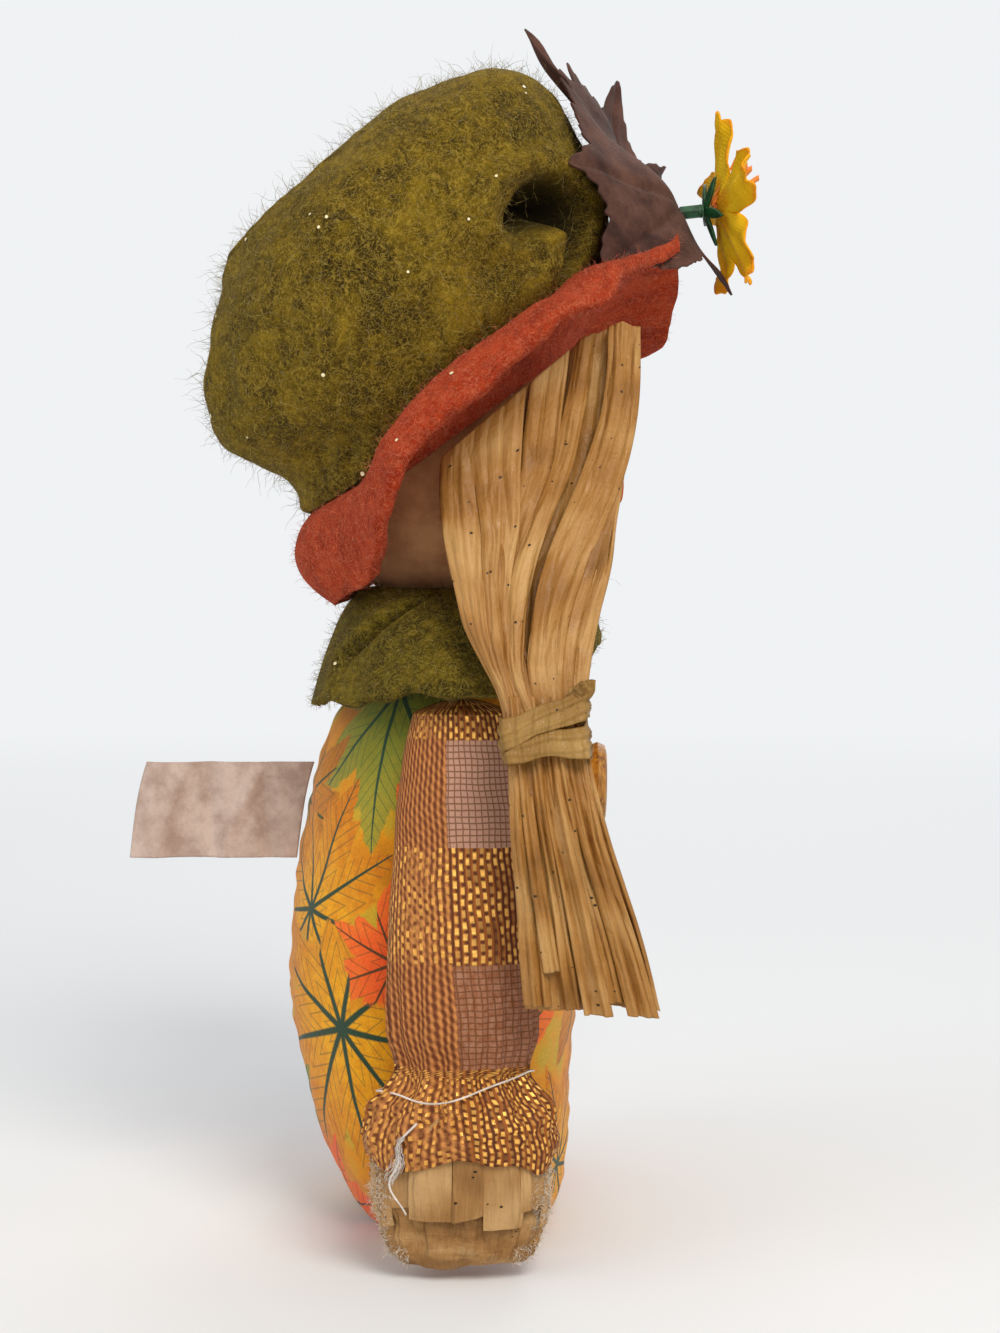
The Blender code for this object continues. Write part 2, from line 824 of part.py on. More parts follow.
def make_hat(hat):
    brim = place("hat_brim", loft("brim", brim_rings()), ORANGE_FELT, hat)
    thicken(brim, BRIM_FELT, 0.0)

    dome = Vector((0, crown_rows()[-1][3], CROWN_HEIGHT))
    crown = place("hat_crown", loft("crown", crown_rings(), end_cap=dome), GREEN_FELT, hat)
    floor = HEAD_RADIUS + FIT * 3 - HAT_SEAT
    wadding = drawn_in(crown.data, CROWN_FELT + FIT * 3, floor)
    place("hat_stuffing", wadding, WADDING, hat)
    thicken(crown, CROWN_FELT)


# Leaf and flower on the hat


def leaf_reach(turn):
    """The maple outline: how far the leaf reaches at a turn from its tip."""
    degrees = abs((math.degrees(turn) + 180) % 360 - 180)
    return LEAF_LENGTH * read_row(LEAF_SHARES, degrees)[0]


def leaf_point(turn, radius):
    """A point of the leaf, which curls back round the crown above the brim."""
    u, v = radius * math.sin(turn), radius * math.cos(turn)
    height = LEAF_ROOT_HEIGHT + v
    clear = min(1.0, max(0.0, v / LEAF_ROOT_HEIGHT))
    bend = u / LEAF_BEND_RADIUS * clear
    across = u if abs(bend) < MERGE else math.sin(bend) * u / bend
    curl = 0.0 if abs(bend) < MERGE else (1 - math.cos(bend)) * abs(u / bend)
    lip = brim_spoke(0, *BRIM_SHARES[0][1:])[-1]
    front = LEAF_STAND - lip.y
    return Vector((across, curl - front, height))


def make_leaf(hat):
    shares = np.linspace(1, 1 / LEAF_RINGS, LEAF_RINGS)
    rings = polar_sheet(leaf_reach, LEAF_STEPS, 0, shares, leaf_point)
    hub = leaf_point(0, 0)
    leaf = place("hat_leaf", loft("leaf", rings, end_cap=hub), LEAF_CLOTH_FINISH, hat)
    thicken(leaf, LEAF_CLOTH, 0.0)
    return hub


def petal_reach(turn):
    """The petals' outline: a wave with one swell for each petal."""
    swell = abs(math.cos(PETALS * turn / 2)) ** PETAL_BLUNTNESS
    return PETAL_LENGTH * (PETAL_NECK_SHARE + (1 - PETAL_NECK_SHARE) * swell)


def petal_point(turn, radius):
    out = radius / PETAL_LENGTH
    return Vector(
        (radius * math.sin(turn), radius * math.cos(turn), PETAL_CUP * out * (1 - out))
    )


def make_flower(hat, hub):
    seat = hub - Vector((0, LEAF_CLOTH / 2 + FIT, 0))
    flower = frame_empty(
        "flower_frame", seat, (math.pi / 2 + math.radians(FLOWER_NOD), 0, 0), hat
    )
    reach = SEPAL_LENGTH * math.sin(math.radians(FLOWER_NOD))
    stem = FLOWER_STEM + reach
    calyx_rings = []
    for share in (1, 0.5, 0.25):
        calyx_rings.append(
            [
                Vector(
                    (
                        sepal_reach(a) * share * math.sin(a),
                        sepal_reach(a) * share * math.cos(a),
                        stem,
                    )
                )
                for a in np.linspace(0, 2 * math.pi, SEPALS * 6, endpoint=False)
            ]
        )
    star = place(
        "flower_calyx",
        loft("calyx", calyx_rings, end_cap=Vector((0, 0, stem))),
        CALYX_GREEN,
        flower,
    )
    thicken(star, SEPAL_THICKNESS, 1.0)
    stalk_foot = FLOWER_HOLE * 2 * math.tan(math.radians(FLOWER_NOD))
    stalk = [Vector((0, 0, stalk_foot)), Vector((0, 0, stem - SEPAL_THICKNESS - FIT))]
    wire("flower_stalk", stalk, FLOWER_HOLE, CALYX_GREEN, flower)
    petal_height = stem + SEPAL_THICKNESS + FIT
    shares = np.linspace(1, 0, PETAL_RINGS)
    flat = polar_sheet(petal_reach, PETAL_STEPS, FLOWER_HOLE, shares, petal_point)
    rings = [[p + UP * petal_height for p in ring] for ring in flat]
    petals = place("flower_petals", loft("petals", rings), PETAL_YELLOW, flower)
    thicken(petals, PETAL_CLOTH, 1.0)
    make_stamens(flower, petal_height + PETAL_CLOTH + FIT)


def make_stamens(flower, foot):
    """A button of cloth with stalks standing out of it, as one piece."""
    head = [(0, foot + STAMEN_SEAT), (STAMEN_RING, foot + STAMEN_SEAT)]
    head += [(STAMEN_RING * 2, foot + STAMEN_SEAT / 2), (STAMEN_RING * 2, foot), (0, foot)]
    stamens = turned("flower_stamens", head, 12, STAMEN_ORANGE, flower)
    lean = math.radians(STAMEN_LEAN)
    for k in range(STAMENS):
        turn = 2 * math.pi * k / STAMENS
        cone = bmesh.new()
        bmesh.ops.create_cone(
            cone,
            cap_ends=True,
            segments=6,
            radius1=STAMEN_RADIUS,
            radius2=STAMEN_TIP_RADIUS,
            depth=STAMEN_LENGTH,
        )
        mesh = bpy.data.meshes.new("stalk")
        cone.to_mesh(mesh)
        cone.free()
        stalk = cutter("stamen_stalk", mesh, flower)
        out = Vector((math.sin(turn), -math.cos(turn), 0))
        along = out * math.sin(lean) + UP * math.cos(lean)
        stalk.location = out * STAMEN_RING + UP * (foot + STAMEN_SEAT / 2) + along * (
            STAMEN_LENGTH / 2
        )
        stalk.rotation_euler = along.to_track_quat("Z", "Y").to_euler()
        joined = stamens.modifiers.new("stalk", "BOOLEAN")
        joined.operation = "UNION"
        joined.object = stalk


def sepal_reach(turn):
    """The calyx's outline: a star with one point for each sepal."""
    point = (math.degrees(turn) * SEPALS / 360) % 1
    nearness = abs(point * 2 - 1)
    return SEPAL_LENGTH * (PETAL_NECK_SHARE + (1 - PETAL_NECK_SHARE) * nearness**2)


# Hair


def hair_rows():
    """Height, width and forward centre of the hair, from its foot to under the brim."""
    reach = HAIR_TOP_HEIGHT - HAIR_FOOT
    heights = np.linspace(0, 1, 24)
    rows = []
    for share in heights:
        width = read_row(HAIR_WIDTH_SHARES, share)[0] * HAIR_WIDTH
        forward = read_row(HAIR_SWEEP_SHARES, share)[0] * HAIR_SWEEP
        rows.append((HAIR_FOOT + share * reach, width, forward))
    return rows


def hair_distance(height):
    """How far out the hair's inner face lies: beside the head, then clear of collar and arms."""
    arm_side = BODY_HALF_WIDTH + ARM_GAP + CUFF_HALF_THICKNESS * 2 + HAIR_CLEAR
    collar_side = COLLAR_HALF_WIDTH + COLLAR_FELT + HAIR_CLEAR * 2
    rows = (
        (HAIR_FOOT, arm_side + THREAD_RADIUS * 2),
        (ARM_HINGE_HEIGHT, arm_side),
        (COLLAR_TOP - COLLAR_SIDE_DROP, collar_side + HAIR_CLEAR),
        (COLLAR_TOP, (collar_side + HAIR_TOP_DISTANCE + HAIR_CLEAR * 4) / 2),
        (HEAD_HEIGHT, HAIR_TOP_DISTANCE + HAIR_CLEAR * 3),
        (HAIR_TOP_HEIGHT, HAIR_TOP_DISTANCE),
    )
    return read_row(smooth_rows(rows, 40), height)[0]


def strip_top(y):
    """The height of the plane just under the brim, where the strips begin."""
    drop = BRIM_TOP + FIT * 2
    ahead = (y - HAT_CENTRE.y) * math.sin(HAT_ANGLE)
    return HAT_CENTRE.z + (-drop - ahead) / math.cos(HAT_ANGLE)


def fold_height(width):
    """How high the folds stand when a strip of full width is drawn in to this width."""
    flat = STRIP_WIDTH / STRIP_FOLDS
    return math.sqrt(max(flat**2 - (width / STRIP_FOLDS) ** 2, 0))


def layer_pitch(width):
    return STRIP_THICKNESS + FIT + fold_height(width) * HAIR_CLEAR / STRIP_WIDTH


def strip_ring(height, column, layer, rows):
    """One level ring of one folded strip, front face then back face."""
    width, forward = read_row(rows, height)
    pitch = width / STRIP_COLUMNS
    strip = pitch * STRIP_FILL_SHARE
    left = -forward + (column - STRIP_COLUMNS / 2 + 0.5) * pitch - strip / 2
    base = hair_distance(height) + layer * layer_pitch(strip)
    front, back = [], []
    for k in range(STRIP_FOLDS + 1):
        y = left + strip * k / STRIP_FOLDS
        raised = fold_height(strip) * ((k + column * STRIP_FOLDS) % 2)
        front.append(Vector((-(base + raised + STRIP_THICKNESS), y, height)))
        back.append(Vector((-(base + raised), y, height)))
    return back + front[::-1]


def strip_rings(column, layer, rows):
    """The rings of one strip, from its cut foot to its top, which slants along the brim."""
    foot = HAIR_FOOT + CUT_STAGGER * CUT_SHARES[column * STRIP_LAYERS + layer]
    width, forward = read_row(rows, HEAD_HEIGHT + HEAD_RADIUS / 2)
    middle = -forward + (column - STRIP_COLUMNS / 2 + 0.5) * width / STRIP_COLUMNS
    top = min(strip_top(middle), HAIR_TOP_HEIGHT)
    rings = []
    for share in np.linspace(0, 1, STRIP_STEPS + 1):
        ring = strip_ring(foot + (top - foot) * share, column, layer, rows)
        for point in ring:
            point.z += (strip_top(point.y) + STRIP_RISE - top) * share**4
        rings.append(ring)
    return rings


def make_hair():
    rows = hair_rows()
    for column in range(STRIP_COLUMNS):
        for layer in range(STRIP_LAYERS):
            number = column * STRIP_LAYERS + layer + 1
            rings = strip_rings(column, layer, rows)
            mesh = loft("strip", rings, start_cap="flat", end_cap="flat")
            strip = place(f"right_hair_strip_{number}", mesh, RAFFIA)
            mirrored(strip, f"left_hair_strip_{number}")
    make_tie(rows)


def tie_outline(height, rows, grow, knot=0.0):
    """A ring round the drawn-in waist of the hair, rounded at its corners, with the knot's swelling."""
    width, forward = read_row(rows, height)
    strip = width / STRIP_COLUMNS * STRIP_FILL_SHARE
    depth = (STRIP_LAYERS - 1) * layer_pitch(strip) + STRIP_THICKNESS + fold_height(strip)
    half_width = width / 2 + grow
    half_depth = depth / 2 + grow
    middle = hair_distance(height) + depth / 2
    ring = []
    for k in range(TIE_STEPS):
        turn = 2 * math.pi * (k + 0.5) / TIE_STEPS
        side, ahead = math.sin(turn), math.cos(turn)
        square = max(abs(side), abs(ahead)) ** TIE_SQUARENESS
        off = math.degrees(turn - KNOT_TURN) / KNOT_SPREAD
        swell = knot * math.exp(-off * off)
        x = -middle - (half_depth / square + swell) * side
        y = -forward - (half_width / square + swell) * ahead
        ring.append(Vector((x, y, height)))
    return ring


def make_tie(rows):
    """The tie: two turns of raffia drawn flat round the hair, with its knot near the front."""
    reach = HAIR_TOP_HEIGHT - HAIR_FOOT
    middle = HAIR_FOOT + TIE_HEIGHT_SHARE * reach
    spare = TIE_THICKNESS / 2 + FIT * 2
    inner, outer = [], []
    for share in np.linspace(0, 1, 5):
        height = middle + (share - 0.5) * TIE_WIDTH
        inner.append(tie_outline(height, rows, spare))
        rise = max(0.0, share - KNOT_FOOT_SHARE) / (1 - KNOT_FOOT_SHARE)
        knot = KNOT_HEIGHT * math.sin(math.pi * rise)
        outer.append(tie_outline(height, rows, spare + TIE_THICKNESS, knot))
    band = bmesh.new()
    sleeve = loft("band", [*inner, *outer[::-1], inner[0]])
    band.from_mesh(sleeve)
    bpy.data.meshes.remove(sleeve)
    bmesh.ops.remove_doubles(band, verts=band.verts, dist=MERGE)
    bmesh.ops.recalc_face_normals(band, faces=band.faces)
    mesh = bpy.data.meshes.new("tie")
    band.to_mesh(mesh)
    band.free()
    shade_round(mesh)
    tie = place("right_hair_tie", mesh, RAFFIA_TIE)
    mirrored(tie, "left_hair_tie")


# Arms


def arm_rows():
    """Height, half thickness and half width of the sleeve's outside, from cuff to shoulder."""
    gathered = (WRIST_HEIGHT - SLEEVE_FOOT) / 3
    rows = [
        (SLEEVE_FOOT, CUFF_HALF_THICKNESS * HEM_SHARE, CUFF_HALF_WIDTH * HEM_SHARE),
        (SLEEVE_FOOT + gathered, CUFF_HALF_THICKNESS, CUFF_HALF_WIDTH),
        (
            SLEEVE_FOOT + gathered * 2,
            (CUFF_HALF_THICKNESS * 2 + WRIST_HALF_THICKNESS) / 3,
            (CUFF_HALF_WIDTH * 2 + WRIST_HALF_WIDTH) / 3,
        ),
        (WRIST_HEIGHT, WRIST_HALF_THICKNESS, WRIST_HALF_WIDTH),
    ]
    rows += [
        (
            WRIST_HEIGHT + z * (ARM_TOP - WRIST_HEIGHT),
            thick * ARM_HALF_THICKNESS,
            wide * ARM_HALF_WIDTH,
        )
        for z, wide, thick in ARM_SHARES
    ]
    return rows


def sleeve_at(height):
    """Half thickness and half width of the sleeve's outside at a height."""
    return read_row(smooth_rows(arm_rows(), SLEEVE_RINGS), height)


def arm_distance(height, half_thickness):
    """How far out the arm's middle lies: its inner face hangs against the body, also as it swings."""
    lowest = max(min(height, ARM_HINGE_HEIGHT), SLEEVE_FOOT)
    widest = max(body_at(h)[0] for h in np.linspace(lowest, ARM_TOP, 5))
    return widest + ARM_GAP + half_thickness


def arm_ring(height, half_thickness, half_width, inset, steps, flutes=0.0):
    middle = arm_distance(height, half_thickness)
    ring = []
    for k in range(steps):
        turn = 2 * math.pi * k / steps
        fluted = 1 + flutes * math.cos(HAND_FLUTES * turn)
        ring.append(
            Vector(
                (
                    -middle - (half_thickness - inset) * fluted * math.sin(turn),
                    ARM_Y + (half_width - inset) * fluted * math.cos(turn),
                    height,
                )
            )
        )
    return ring


def make_arm():
    rows = smooth_rows(arm_rows(), SLEEVE_RINGS)
    rings = [arm_ring(z, t, w, 0, SLEEVE_STEPS) for z, t, w in rows]
    top = sum(rings[-1], Vector()) / SLEEVE_STEPS + UP * (ARM_HALF_THICKNESS / 4)
    sleeve = place("right_sleeve", loft("sleeve", rings, end_cap=top), RIBBON)
    thicken(sleeve, SLEEVE_CLOTH)
    mirrored(sleeve, "left_sleeve")

    inset = SLEEVE_CLOTH + FIT * 4
    core = []
    hand_top = SLEEVE_FOOT + (WRIST_HEIGHT - SLEEVE_FOOT) / 4
    for z, wide, thick in smooth_rows(HAND_SHARES, 6):
        height = HAND_FOOT + z * (hand_top - HAND_FOOT)
        core.append(
            hand_ring(height, thick * HAND_HALF_THICKNESS, wide * HAND_HALF_WIDTH)
        )
    for height in np.linspace(WRIST_HEIGHT, ARM_TOP - ARM_HALF_THICKNESS, 6):
        half_thickness, half_width = sleeve_at(height)
        slack = inset + HAND_FLUTE_SHARE * half_width
        core.append(
            arm_ring(height, half_thickness, half_width, slack, CORE_STEPS, HAND_FLUTE_SHARE)
        )
    mesh = loft("core", core, start_cap="flat", end_cap="flat")
    hand = place("right_arm_raffia", mesh, HAND_RAFFIA)
    mirrored(hand, "left_arm_raffia")
    make_thread()
    make_stitch()


def hand_ring(height, half_thickness, half_width):
    """A ring of the hand, in line with the middle of the sleeve, or of its hem lower down."""
    sleeve_height = max(height, SLEEVE_FOOT)
    middle = arm_distance(sleeve_height, sleeve_at(sleeve_height)[0])
    ring = []
    for k in range(CORE_STEPS):
        turn = 2 * math.pi * k / CORE_STEPS
        fluted = 1 + HAND_FLUTE_SHARE * math.cos(HAND_FLUTES * turn)
        ring.append(
            Vector(
                (
                    -middle - half_thickness * fluted * math.sin(turn),
                    ARM_Y + half_width * fluted * math.cos(turn),
                    height,
                )
            )
        )
    return ring


def thread_point(turn, height):
    """A point of the wrist thread's middle line, lying on the sleeve or, below its hem, on the hand."""
    clear = THREAD_RADIUS + THREAD_CLEAR
    half_thickness, half_width = sleeve_at(max(height, SLEEVE_FOOT))
    middle = arm_distance(height, half_thickness)
    return Vector(
        (
            -middle - (half_thickness + clear) * math.sin(turn),
            ARM_Y + (half_width + clear) * math.cos(turn),
            height,
        )
    )


def make_thread():
    """The wrist thread: turns round the gathered sleeve, then a loose end down the cuff."""
    run = []
    count = int(THREAD_TURNS * THREAD_STEPS)
    for k in range(count + 1):
        turn = THREAD_START + 2 * math.pi * k / THREAD_STEPS
        rise = (k / count - 0.5) * THREAD_TURNS * THREAD_PITCH
        run.append(thread_point(turn, WRIST_HEIGHT - rise))
    last_turn = THREAD_START + 2 * math.pi * THREAD_TURNS
    low = WRIST_HEIGHT - THREAD_TURNS * THREAD_PITCH / 2
    for share in np.linspace(0, 1, 7)[1:]:
        run.append(thread_point(last_turn + THREAD_DRIFT * share, low - share * THREAD_TAIL))
    thread = wire("right_wrist_thread", run, THREAD_RADIUS, WHITE_THREAD)
    mirrored(thread, "left_wrist_thread")


def make_stitch():
    """The tack of thread on the arm's hinge that sews the sleeve to the shoulder."""
    half_thickness = sleeve_at(ARM_HINGE_HEIGHT)[0]
    sleeve_side = arm_distance(ARM_HINGE_HEIGHT, half_thickness) - half_thickness
    body_side = body_at(ARM_HINGE_HEIGHT)[0]
    run = [
        Vector((-(sleeve_side - FIT), ARM_Y, ARM_HINGE_HEIGHT)),
        Vector((-(body_side + SEAM_GAP / 2 + FIT), ARM_Y, ARM_HINGE_HEIGHT)),
    ]
    stitch = wire("right_shoulder_stitch", run, STITCH_RADIUS, WHITE_THREAD)
    mirrored(stitch, "left_shoulder_stitch")


# Button and tag


def make_button():
    """A turned wooden button, dished inside its rim, with four holes."""
    floor = BUTTON_THICKNESS - BUTTON_DISH
    edge = [
        (BUTTON_RADIUS - inset * BUTTON_RIM, height * BUTTON_THICKNESS)
        for inset, height in BUTTON_EDGE_SHARES
    ]
    dish = BUTTON_RADIUS - BUTTON_RIM * 2
    profile = [(0, floor), (dish, floor), *edge, (0, 0)]
    seat = button_seat()
    button = turned("chest_button", profile, BUTTON_STEPS, TURNED_WOOD, seat)
    for k in range(4):
        turn = math.pi / 4 + k * math.pi / 2
        drill = bmesh.new()
        bmesh.ops.create_cone(
            drill,
            cap_ends=True,
            segments=10,
            radius1=BUTTON_HOLE,
            radius2=BUTTON_HOLE,
            depth=BUTTON_THICKNESS + OVERRUN * 2,
        )
        mesh = bpy.data.meshes.new("drill")
        drill.to_mesh(mesh)
        drill.free()
        bit = cutter("button_drill", mesh, seat)
        across = Vector((math.cos(turn), math.sin(turn), 0)) * BUTTON_HOLE_SPREAD
        bit.location = across + UP * (BUTTON_THICKNESS / 2)
        hole = button.modifiers.new("hole", "BOOLEAN")
        hole.operation = "DIFFERENCE"
        hole.object = bit
    reach = BUTTON_HOLE_SPREAD * math.cos(math.pi / 4)
    over = BUTTON_THICKNESS - BUTTON_DISH + BUTTON_THREAD + FIT
    behind = -BUTTON_THREAD - FIT
    corners = [
        (-reach, -reach, over / 2),
        (-reach, -reach, over),
        (-reach, reach, over),
        (-reach, reach, behind),
        (reach, reach, behind),
        (reach, reach, over),
        (reach, -reach, over),
        (reach, -reach, over / 2),
    ]
    wire("button_thread", corners, BUTTON_THREAD, WHITE_THREAD, seat)


def button_seat():
    """A frame on the chest seam: +Z out of the front of the body, square to its slope."""
    rise = BUTTON_RADIUS
    points = []
    for height in (BUTTON_HEIGHT - rise, BUTTON_HEIGHT, BUTTON_HEIGHT + rise):
        half_depth, centre = body_at(height)[1:]
        points.append(Vector((0, centre - half_depth, height)))
    slope = (points[2] - points[0]).normalized()
    out = slope.cross(Vector((1, 0, 0))).normalized()
    if out.y > 0:
        out = -out
    proud = max((p - points[1]).dot(out) for p in points)
    seat = points[1] + out * (proud + BUTTON_THREAD * 2 + FIT * 2)
    return frame_empty("button_frame", seat, out.to_track_quat("Z", "Y").to_euler())


def make_tag():
    """The bare ribbon tag: it leaves the back seam and waves a little."""
    rings = []
    for share in np.linspace(0, 1, 3):
        height = TAG_FOOT + share * TAG_WIDTH
        half_depth, centre = body_at(height)[1:]
        root = centre + half_depth + FIT
        end = body_at(TAG_FOOT)[1] + body_at(TAG_FOOT)[2] + TAG_LENGTH
        row = []
        for step in np.linspace(0, 1, TAG_STEPS):
            ripple = TAG_RIPPLE * math.sin(step * TAG_RIPPLES * 2 * math.pi) * step
            row.append(Vector((ripple, root + (end - root) * step, height)))
        rings.append(row)
    tag = place("back_tag", loft("tag", rings, closed_round=False), RIBBON_TAG)
    thicken(tag, TAG_THICKNESS, 0.0)


clear_scene()
DOLL = new_collection("harvest_doll")
CUTTERS = new_collection("cutters")

COTTON = make_finish("printed_cotton", (0.66, 0.31, 0.035), 0.85)
BASE_FELT = make_finish("base_felt", (0.22, 0.03, 0.015), 0.95)
CALICO = make_finish("calico", (0.62, 0.56, 0.46), 0.9)
WADDING = make_finish("polyester_wadding", (0.85, 0.84, 0.80), 1.0)
FOAM = make_finish("foam_ball", (0.9, 0.9, 0.88), 0.9)
MUSLIN = make_finish("tan_muslin", (0.58, 0.36, 0.20), 0.85)
BEAD = make_finish("black_bead", (0.01, 0.01, 0.01), 0.15)
NOSE_FELT = make_finish("nose_felt", (0.60, 0.12, 0.03), 0.95)
MOUTH_COTTON = make_finish("mouth_cotton", (0.10, 0.015, 0.01), 0.8)
GREEN_FELT = make_finish("olive_wool_felt", (0.115, 0.085, 0.008), 0.95)
ORANGE_FELT = make_finish("orange_wool_felt", (0.50, 0.06, 0.016), 0.95)
LEAF_CLOTH_FINISH = make_finish("plum_leaf_cloth", (0.085, 0.036, 0.035), 0.8)
PETAL_YELLOW = make_finish("yellow_petal_cloth", (0.85, 0.46, 0.005), 0.75)
CALYX_GREEN = make_finish("green_calyx", (0.015, 0.09, 0.03), 0.6)
STAMEN_ORANGE = make_finish("orange_stamen", (0.85, 0.25, 0.01), 0.7)
RAFFIA = make_finish("paper_raffia", (0.46, 0.27, 0.105), 0.6)
RAFFIA_TIE = make_finish("raffia_tie", (0.48, 0.30, 0.12), 0.6)
HAND_RAFFIA = make_finish("hand_raffia", (0.47, 0.32, 0.16), 0.7)
RIBBON = make_finish("copper_ribbon", (0.48, 0.19, 0.05), 0.45)
WHITE_THREAD = make_finish("white_thread", (0.72, 0.70, 0.66), 0.8)
TURNED_WOOD = make_finish("turned_wood", (0.45, 0.24, 0.05), 0.45)
RIBBON_TAG = make_finish("ribbon_tag", (0.55, 0.45, 0.38), 0.6)

make_body()
make_head()
make_face()
make_collar()
HAT = frame_empty("hat_frame", HAT_CENTRE, (-HAT_ANGLE, 0, 0))
make_hat(HAT)
make_flower(HAT, make_leaf(HAT))
make_hair()
make_arm()
make_button()
make_tag()
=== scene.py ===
"""Looks of the harvest doll: its felt, printed cotton, raffia, woven ribbon, trims, light and camera."""

import math

import bmesh
import bpy
import numpy as np
from mathutils import Matrix, Vector, noise


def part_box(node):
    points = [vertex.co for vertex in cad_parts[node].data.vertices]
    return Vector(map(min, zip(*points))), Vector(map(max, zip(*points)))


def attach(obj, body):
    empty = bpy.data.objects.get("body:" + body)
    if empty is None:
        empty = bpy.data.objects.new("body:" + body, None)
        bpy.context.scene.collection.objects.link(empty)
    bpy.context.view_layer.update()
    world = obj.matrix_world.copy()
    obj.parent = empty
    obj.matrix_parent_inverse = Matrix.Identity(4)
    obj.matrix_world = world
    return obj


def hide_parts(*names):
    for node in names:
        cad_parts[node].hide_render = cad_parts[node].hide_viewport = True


MM = 0.001

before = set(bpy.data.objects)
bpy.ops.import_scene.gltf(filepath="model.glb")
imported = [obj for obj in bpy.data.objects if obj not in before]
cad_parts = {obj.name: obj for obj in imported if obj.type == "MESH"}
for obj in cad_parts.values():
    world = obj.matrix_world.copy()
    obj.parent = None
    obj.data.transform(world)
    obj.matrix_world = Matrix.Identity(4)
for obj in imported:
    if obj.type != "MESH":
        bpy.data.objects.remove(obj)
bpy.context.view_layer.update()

# The sides of the doll: its right is at -X
SIDES = (("right", -1), ("left", 1))
SEED = 41

# Every shape is worked out in millimetres, and turned to metres as its mesh is made
BODY_HALF_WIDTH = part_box("body_panel_left")[1].x / MM
BODY_HEIGHT = 96.0
BODY_HALF_DEPTH = 25.5
BODY_LEAN = 3.8
HEAD_RADIUS = 25.5
HEAD_CENTRE = np.array((0, -2.0, 128.5))
HAT_TILT = 40.0
HAT_SEAT = 5.0
BRIM_LIFT = 6.0
BRIM_FELT = 1.8


# Colour and nodes


def linear(code):
    """An sRGB hex colour as linear red, green, blue and alpha."""
    parts = [int(code[k : k + 2], 16) / 255 for k in (1, 3, 5)]
    return (*[p / 12.92 if p <= 0.04045 else ((p + 0.055) / 1.055) ** 2.4 for p in parts], 1.0)


def add(tree, kind, inputs=None, stops=(), **settings):
    """A shader node: its settings, its inputs set or linked, and a ramp's stops of place and tone."""
    made = tree.nodes.new("ShaderNode" + kind)
    for name, value in settings.items():
        setattr(made, name, value)
    for name, value in (inputs or {}).items():
        if isinstance(value, bpy.types.Node):
            value = value.outputs[0]
        if isinstance(value, bpy.types.NodeSocket):
            tree.links.new(value, made.inputs[name])
        else:
            made.inputs[name].default_value = value
    for _ in stops[2:]:
        made.color_ramp.elements.new(0.5)
    for k, (place, tone) in enumerate(stops):
        made.color_ramp.elements[k].position = place
        made.color_ramp.elements[k].color = linear(tone) if isinstance(tone, str) else (tone,) * 3 + (1,)
    return made


def work_out(tree, known, steps):
    """Runs a table of steps: a name, an operation, and numbers, hex colours or names of other steps."""
    for name, operation, *given in steps:
        given = [
            value if not isinstance(value, str)
            else linear(value) if value.startswith("#") else known[value]
            for value in given
        ]
        if operation == "RANGE":
            sockets = ("Value", "From Min", "From Max", "To Min", "To Max")
            known[name] = add(tree, "MapRange", dict(zip(sockets, given))).outputs[0]
        elif operation == "BLEND":
            mixed = add(tree, "Mix", dict(zip((0, 6, 7), given)), data_type="RGBA")
            known[name] = mixed.outputs[2]
        elif operation == "STOPS":
            known[name] = add(tree, "ValToRGB", {0: given[0]}, given[1]).outputs[0]
        else:
            known[name] = add(
                tree, "Math", dict(enumerate(given)), operation=operation
            ).outputs[0]
    return known


def new_material(name, roughness, **sockets):
    """A material's tree and its shader, with the numbers that are the same all over its surface."""
    material = bpy.data.materials.new(name)
    material.use_nodes = True
    tree = material.node_tree
    shader = tree.nodes["Principled BSDF"]
    shader.inputs["Roughness"].default_value = roughness
    for socket, value in sockets.items():
        shader.inputs[socket.replace("_", " ")].default_value = value
    return material, tree, shader


def wear(tree, shader, colour, *relief, **others):
    """Gives the shader its colour and other sockets, and relief in layers: height, depth, strength."""
    normal = {}
    for height, depth, strength in relief:
        sockets = {"Height": height, "Distance": depth, "Strength": strength}
        normal = {"Normal": add(tree, "Bump", {**sockets, **normal}).outputs[0]}
    for socket, source in {"Base Color": colour, **normal, **others}.items():
        tree.links.new(source, shader.inputs[socket])


# Materials


